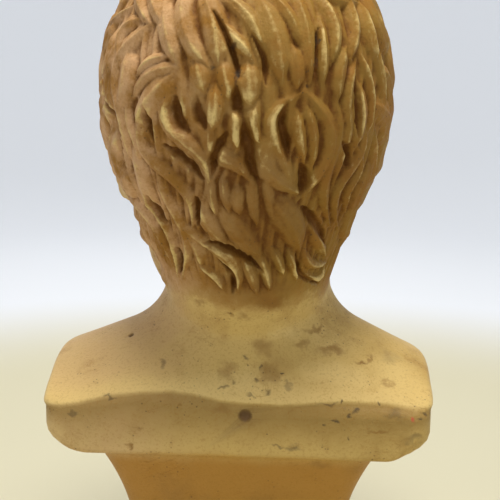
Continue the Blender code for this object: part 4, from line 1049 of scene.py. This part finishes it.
def patina(colours):
    """Patinated plaster. On the hair the crests are rubbed pale in places and the stain gathers in the
    creases; on the shoulders it is thin, clouded, scratched and marked; the socle is more orange.
    Painted light and shade are mixed into the colour too:
    - the stain's tint is paler on the figure's left and darker on its right;
    - the left shoulder takes a greyer shade tint;
    - pale patches of painted light lie on the shoulders' tops;
    - a painted highlight runs along the back's lip, with painted shade on the upright face below it;
    - thin near-black lines of painted shade lie in narrow crevices of the hair."""
    g = Graph("plaster_patina")
    hair, hollow, pool, pit, lip, face = (g.attribute(name) for name in FACTS)
    cloud, blotch, grain = g.noise(26.0, 5.0, 0.62), g.noise(90.0, 6.0, 0.66), g.noise(450.0, 5.0, 0.7)
    fine = g.noise(1500.0, 3.0, 0.6)
    left, up = g.axis(0), g.axis(2)
    # The stain's tint is split at the figure's left and right. It is partly the patina's own and partly
    # painted light: paler and pinker on the left, darker and more olive on the right
    side = g.step(g.math("ADD", left, g.times(cloud, 0.05, -0.025)), 0.034, -0.016)
    cast = g.mix(side, colours.pink_stain_and_side_light, colours.olive_stain_and_side_shade)
    place = g.ragged(300.0, 0.006)

    stained = g.marks(place, STAINED_MARKS)
    stain = g.mix(g.step(blotch, 0.38, 0.66), cast, colours.stain)
    stain = g.mix(stained, stain, colours.hollow, 0.42)
    rubbing = hollow
    for layer, share in ((grain, 0.60), (blotch, 0.60), (cloud, 0.50), (stained, 0.20)):
        rubbing = g.times(layer, share, rubbing)
    locks = g.mix(g.step(rubbing, 1.20, 0.80), stain, colours.bare)
    locks = g.mix(g.step(rubbing, 1.36, 1.86), locks, colours.hollow)
    locks = g.mix(g.times(pool, g.step(blotch, 0.30, 0.55)), locks, colours.hollow, 0.85)

    # Painted shade: the figure's left shoulder takes the greyer tint where it lies in shade; the rest is
    # the rubbed patina
    skin = g.mix(g.step(g.times(cloud, 0.03, left), 0.055, 0.010), colours.beige_shade_tint, colours.rubbed)
    low = g.step(g.times(cloud, 0.012, up), 0.064, 0.056)
    ochre = g.mix(g.step(cloud, 0.40, 0.62), colours.ochre, colours.stain)
    for share, colour, most in (
        (g.step(cloud, 0.42, 0.62), cast, 0.4),
        # Painted light: pale patches on the shoulders' tops
        (g.marks(place, PAINTED_LIGHT_MARKS), colours.bare, 1.0),
        (g.step(blotch, 0.50, 0.72), colours.stain, 0.35),
        (low, ochre, 0.85),
        # Painted highlight: a pale band in bare plaster's colour along the lip above the back face
        (lip, colours.bare, 0.8),
        # Painted shade on the upright back face below the lip
        (face, colours.edge, 0.75),
        (stained, colours.stain, 0.8),
        (g.marks(place, BROWN_MARKS), colours.brown, 1.0),
        (g.marks(place, RED_MARKS), colours.red, 1.0),
    ):
        skin = g.mix(share, skin, colour, most)

    streak = g.noise(420.0, 1.0, 0.4, stretch=(16.0, 1.0, 1.0), turn=(0.0, 0.40, -0.30))
    streak = g.math("ABSOLUTE", g.math("SUBTRACT", streak, 0.5))
    scratch = g.times(g.step(streak, 0.010, 0.003), g.step(blotch, 0.50, 0.62))
    scratch = g.times(scratch, g.math("SUBTRACT", 1.0, hair))
    base = g.mix(hair, skin, locks)
    for share, colour, most in (
        # Dark marks: dirt on the shoulders, and painted shade in narrow crevices of the hair
        (g.marks(place, DARK_MARKS), colours.dirt_and_crevice_shade, 1.0),
        (g.step(fine, 0.50, 0.68), colours.stain, 0.25),
        (scratch, colours.stain, 0.30),
        (g.times(g.speck(620.0, 0.20), g.step(blotch, 0.48, 0.60)), colours.dirt_and_crevice_shade, 0.6),
        (pit, colours.pit, 0.85),
    ):
        base = g.mix(share, base, colour, most)

    rough = g.times(fine, 0.14, g.times(g.step(rubbing, 0.8, 1.7), 0.20, colours.roughness))
    strands = g.times(g.noise(520.0, 3.0, 0.6, stretch=(1.0, 1.0, 6.0)), hair)
    relief = g.times(scratch, -0.25, g.times(strands, 1.2, grain))
    normal = g.bump(fine, 0.00009, Normal=g.bump(relief, 0.00030))
    return g.finish({"Base Color": base, "Roughness": rough, "Normal": normal, "Specular IOR Level": 0.22})


def floor_paper(studio):
    """Matt paper with a faint mottle that passes from the floor's colour to the backdrop's by the
    squared distance from the Z axis, and glows a little as lit paper does."""
    g = Graph("floor_paper")
    away = g.times(g.axis(1), g.axis(1), g.times(g.axis(0), g.axis(0)))
    away = g.step(away, NEAR_FLOOR**2, FAR_FLOOR**2)
    shade = g.mix(away, studio.floor_colour, studio.wall_colour)
    shade = g.mix(g.noise(3.0, 3.0), shade, (0.6, 0.6, 0.6), 0.06)
    glow = {"Emission Color": shade, "Emission Strength": studio.glow}
    return g.finish({"Base Color": shade, "Roughness": 0.8, **glow})


def mesh_object(name, points, faces):
    mesh = bpy.data.meshes.new(name)
    mesh.from_pydata(points.tolist(), [], faces)
    mesh.update()
    mesh.shade_smooth()
    obj = bpy.data.objects.new(name, mesh)
    bpy.context.scene.collection.objects.link(obj)
    return obj


class BUST_OT_plaster_bust(bpy.types.Operator):
    """Builds the whole cast bust, head, shoulders and socle, as one closed surface"""

    bl_idname = "bust.plaster_bust"
    bl_label = "Plaster bust"

    def execute(self, context):
        sizes, colours = context.scene.bust_sizes, context.scene.patina_colours
        share = 1.0
        surface, facts = sculpted_bust(
            int(share * sizes.columns),
            int(share * sizes.body_rows),
            int(share * sizes.head_rows),
            sizes.lock_height,
            sizes.strand_depth,
        )
        points, faces = skin_of_rows(surface)
        bust = mesh_object("plaster_bust", points, faces)
        for name, rows in facts.items():
            attribute = bust.data.attributes.new(name, "FLOAT", "POINT")
            values = np.concatenate([rows[1:-1].ravel(), [rows[0].mean(), rows[-1].mean()]])
            attribute.data.foreach_set("value", values.astype(np.float32))
        thin = bust.modifiers.new("thin", "DECIMATE")
        thin.ratio = min(1.0, share * sizes.triangles / (2 * surface.shape[0] * surface.shape[1]))
        graph = context.evaluated_depsgraph_get()
        rough_mesh, thinned = bust.data, bust.evaluated_get(graph)
        bust.data = bpy.data.meshes.new_from_object(
            thinned, preserve_all_data_layers=True, depsgraph=graph
        )
        bust.modifiers.clear()
        bpy.data.meshes.remove(rough_mesh)
        bust.data.materials.clear()
        bust.data.materials.append(patina(colours))
        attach(bust, "root")
        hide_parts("bust")
        return {"FINISHED"}


class BUST_OT_studio(bpy.types.Operator):
    """Lays the floor and backdrop, hangs the lights and sets the camera"""

    bl_idname = "bust.studio"
    bl_label = "Studio"

    def execute(self, context):
        studio = context.scene.studio_sizes
        self.floor(studio)
        self.lights(context, studio)
        self.camera(context)
        return {"FINISHED"}

    def floor(self, studio):
        """A sheet under the bust that rises at its rim as a round wall. Along a line from the middle
        it is flat, then a quarter circle of the bend's radius, then straight up."""
        bend = np.linspace(0.0, np.pi / 2, 17)
        flat, wall = np.array([0.0, 0.05, 0.12, 0.25]), np.array([1.0, WALL_HEIGHT])
        inner = FLOOR_RADIUS - BEND_RADIUS
        radius = np.concatenate([flat, inner + BEND_RADIUS * np.sin(bend), [FLOOR_RADIUS] * 2])[:, None]
        height = np.concatenate([0 * flat, BEND_RADIUS * (1 - np.cos(bend)), wall])[:, None]
        around = np.linspace(0, 2 * np.pi, FLOOR_COLUMNS, endpoint=False)
        rows = np.stack([radius * np.cos(around), radius * np.sin(around), height + 0 * around], -1)
        points, faces = skin_of_rows(rows)
        sheet = mesh_object("floor", points, [face for face in faces if len(points) - 1 not in face])
        sheet.data.materials.append(floor_paper(studio))

    def lights(self, context, studio):
        world = bpy.data.worlds.new("studio")
        context.scene.world = world
        context.scene.view_settings.view_transform = "Standard"
        world.use_nodes = True
        back = world.node_tree.nodes["Background"]
        back.inputs["Color"].default_value = (1.0, 0.95, 0.86, 1.0)
        back.inputs["Strength"].default_value = studio.sky
        for name, place, size, power, colour in (
            ("key", (-0.03, 0.11, 0.75), 0.26, studio.key_power, (1.0, 0.95, 0.86)),
            ("fill", (0.55, 0.45, 0.25), 0.6, studio.fill_power, (0.95, 0.94, 1.0)),
            ("front", (0.1, -0.6, 0.5), 0.4, studio.front_power, (1.0, 0.97, 0.93)),
        ):
            light = bpy.data.lights.new(name, "AREA")
            light.size, light.energy, light.color = size, power, colour
            obj = bpy.data.objects.new(name, light)
            obj.location = place
            obj.rotation_euler = (LIGHT_AIM - obj.location).to_track_quat("-Z", "Y").to_euler()
            context.scene.collection.objects.link(obj)

    def camera(self, context):
        camera = bpy.data.cameras.new("camera")
        camera.lens = camera.sensor_width * VIEW_FOCAL / VIEW_WIDTH
        camera.clip_start = 0.01
        obj = bpy.data.objects.new("camera", camera)
        across, upward, back = view_axes()
        matrix = Matrix(np.stack([across, upward, back], -1).tolist()).to_4x4()
        matrix.translation = Vector(VIEW_TARGET + VIEW_DISTANCE * back)
        obj.matrix_world = matrix
        context.scene.collection.objects.link(obj)
        context.scene.camera = obj


class BUST_PT_panel(bpy.types.Panel):
    """Lists the bust's operators and sizes"""

    bl_label = "Bust"
    bl_space_type = "VIEW_3D"
    bl_region_type = "UI"
    bl_category = "Bust"

    def draw(self, context):
        for group in (context.scene.bust_sizes, context.scene.patina_colours, context.scene.studio_sizes):
            box = self.layout.box()
            for name in group.__annotations__:
                box.prop(group, name)
        for operator in (BUST_OT_plaster_bust, BUST_OT_studio):
            self.layout.operator(operator.bl_idname)


CLASSES = (BustSizes, PatinaColours, StudioSizes, BUST_OT_plaster_bust, BUST_OT_studio, BUST_PT_panel)


def register():
    for cls in CLASSES:
        bpy.utils.register_class(cls)
    bpy.types.Scene.bust_sizes = PointerProperty(type=BustSizes)
    bpy.types.Scene.patina_colours = PointerProperty(type=PatinaColours)
    bpy.types.Scene.studio_sizes = PointerProperty(type=StudioSizes)


def unregister():
    del bpy.types.Scene.studio_sizes
    del bpy.types.Scene.patina_colours
    del bpy.types.Scene.bust_sizes
    for cls in reversed(CLASSES):
        bpy.utils.unregister_class(cls)


def main():
    register()
    bpy.ops.bust.plaster_bust()
    bpy.ops.bust.studio()


if __name__ == "__main__":
    main()
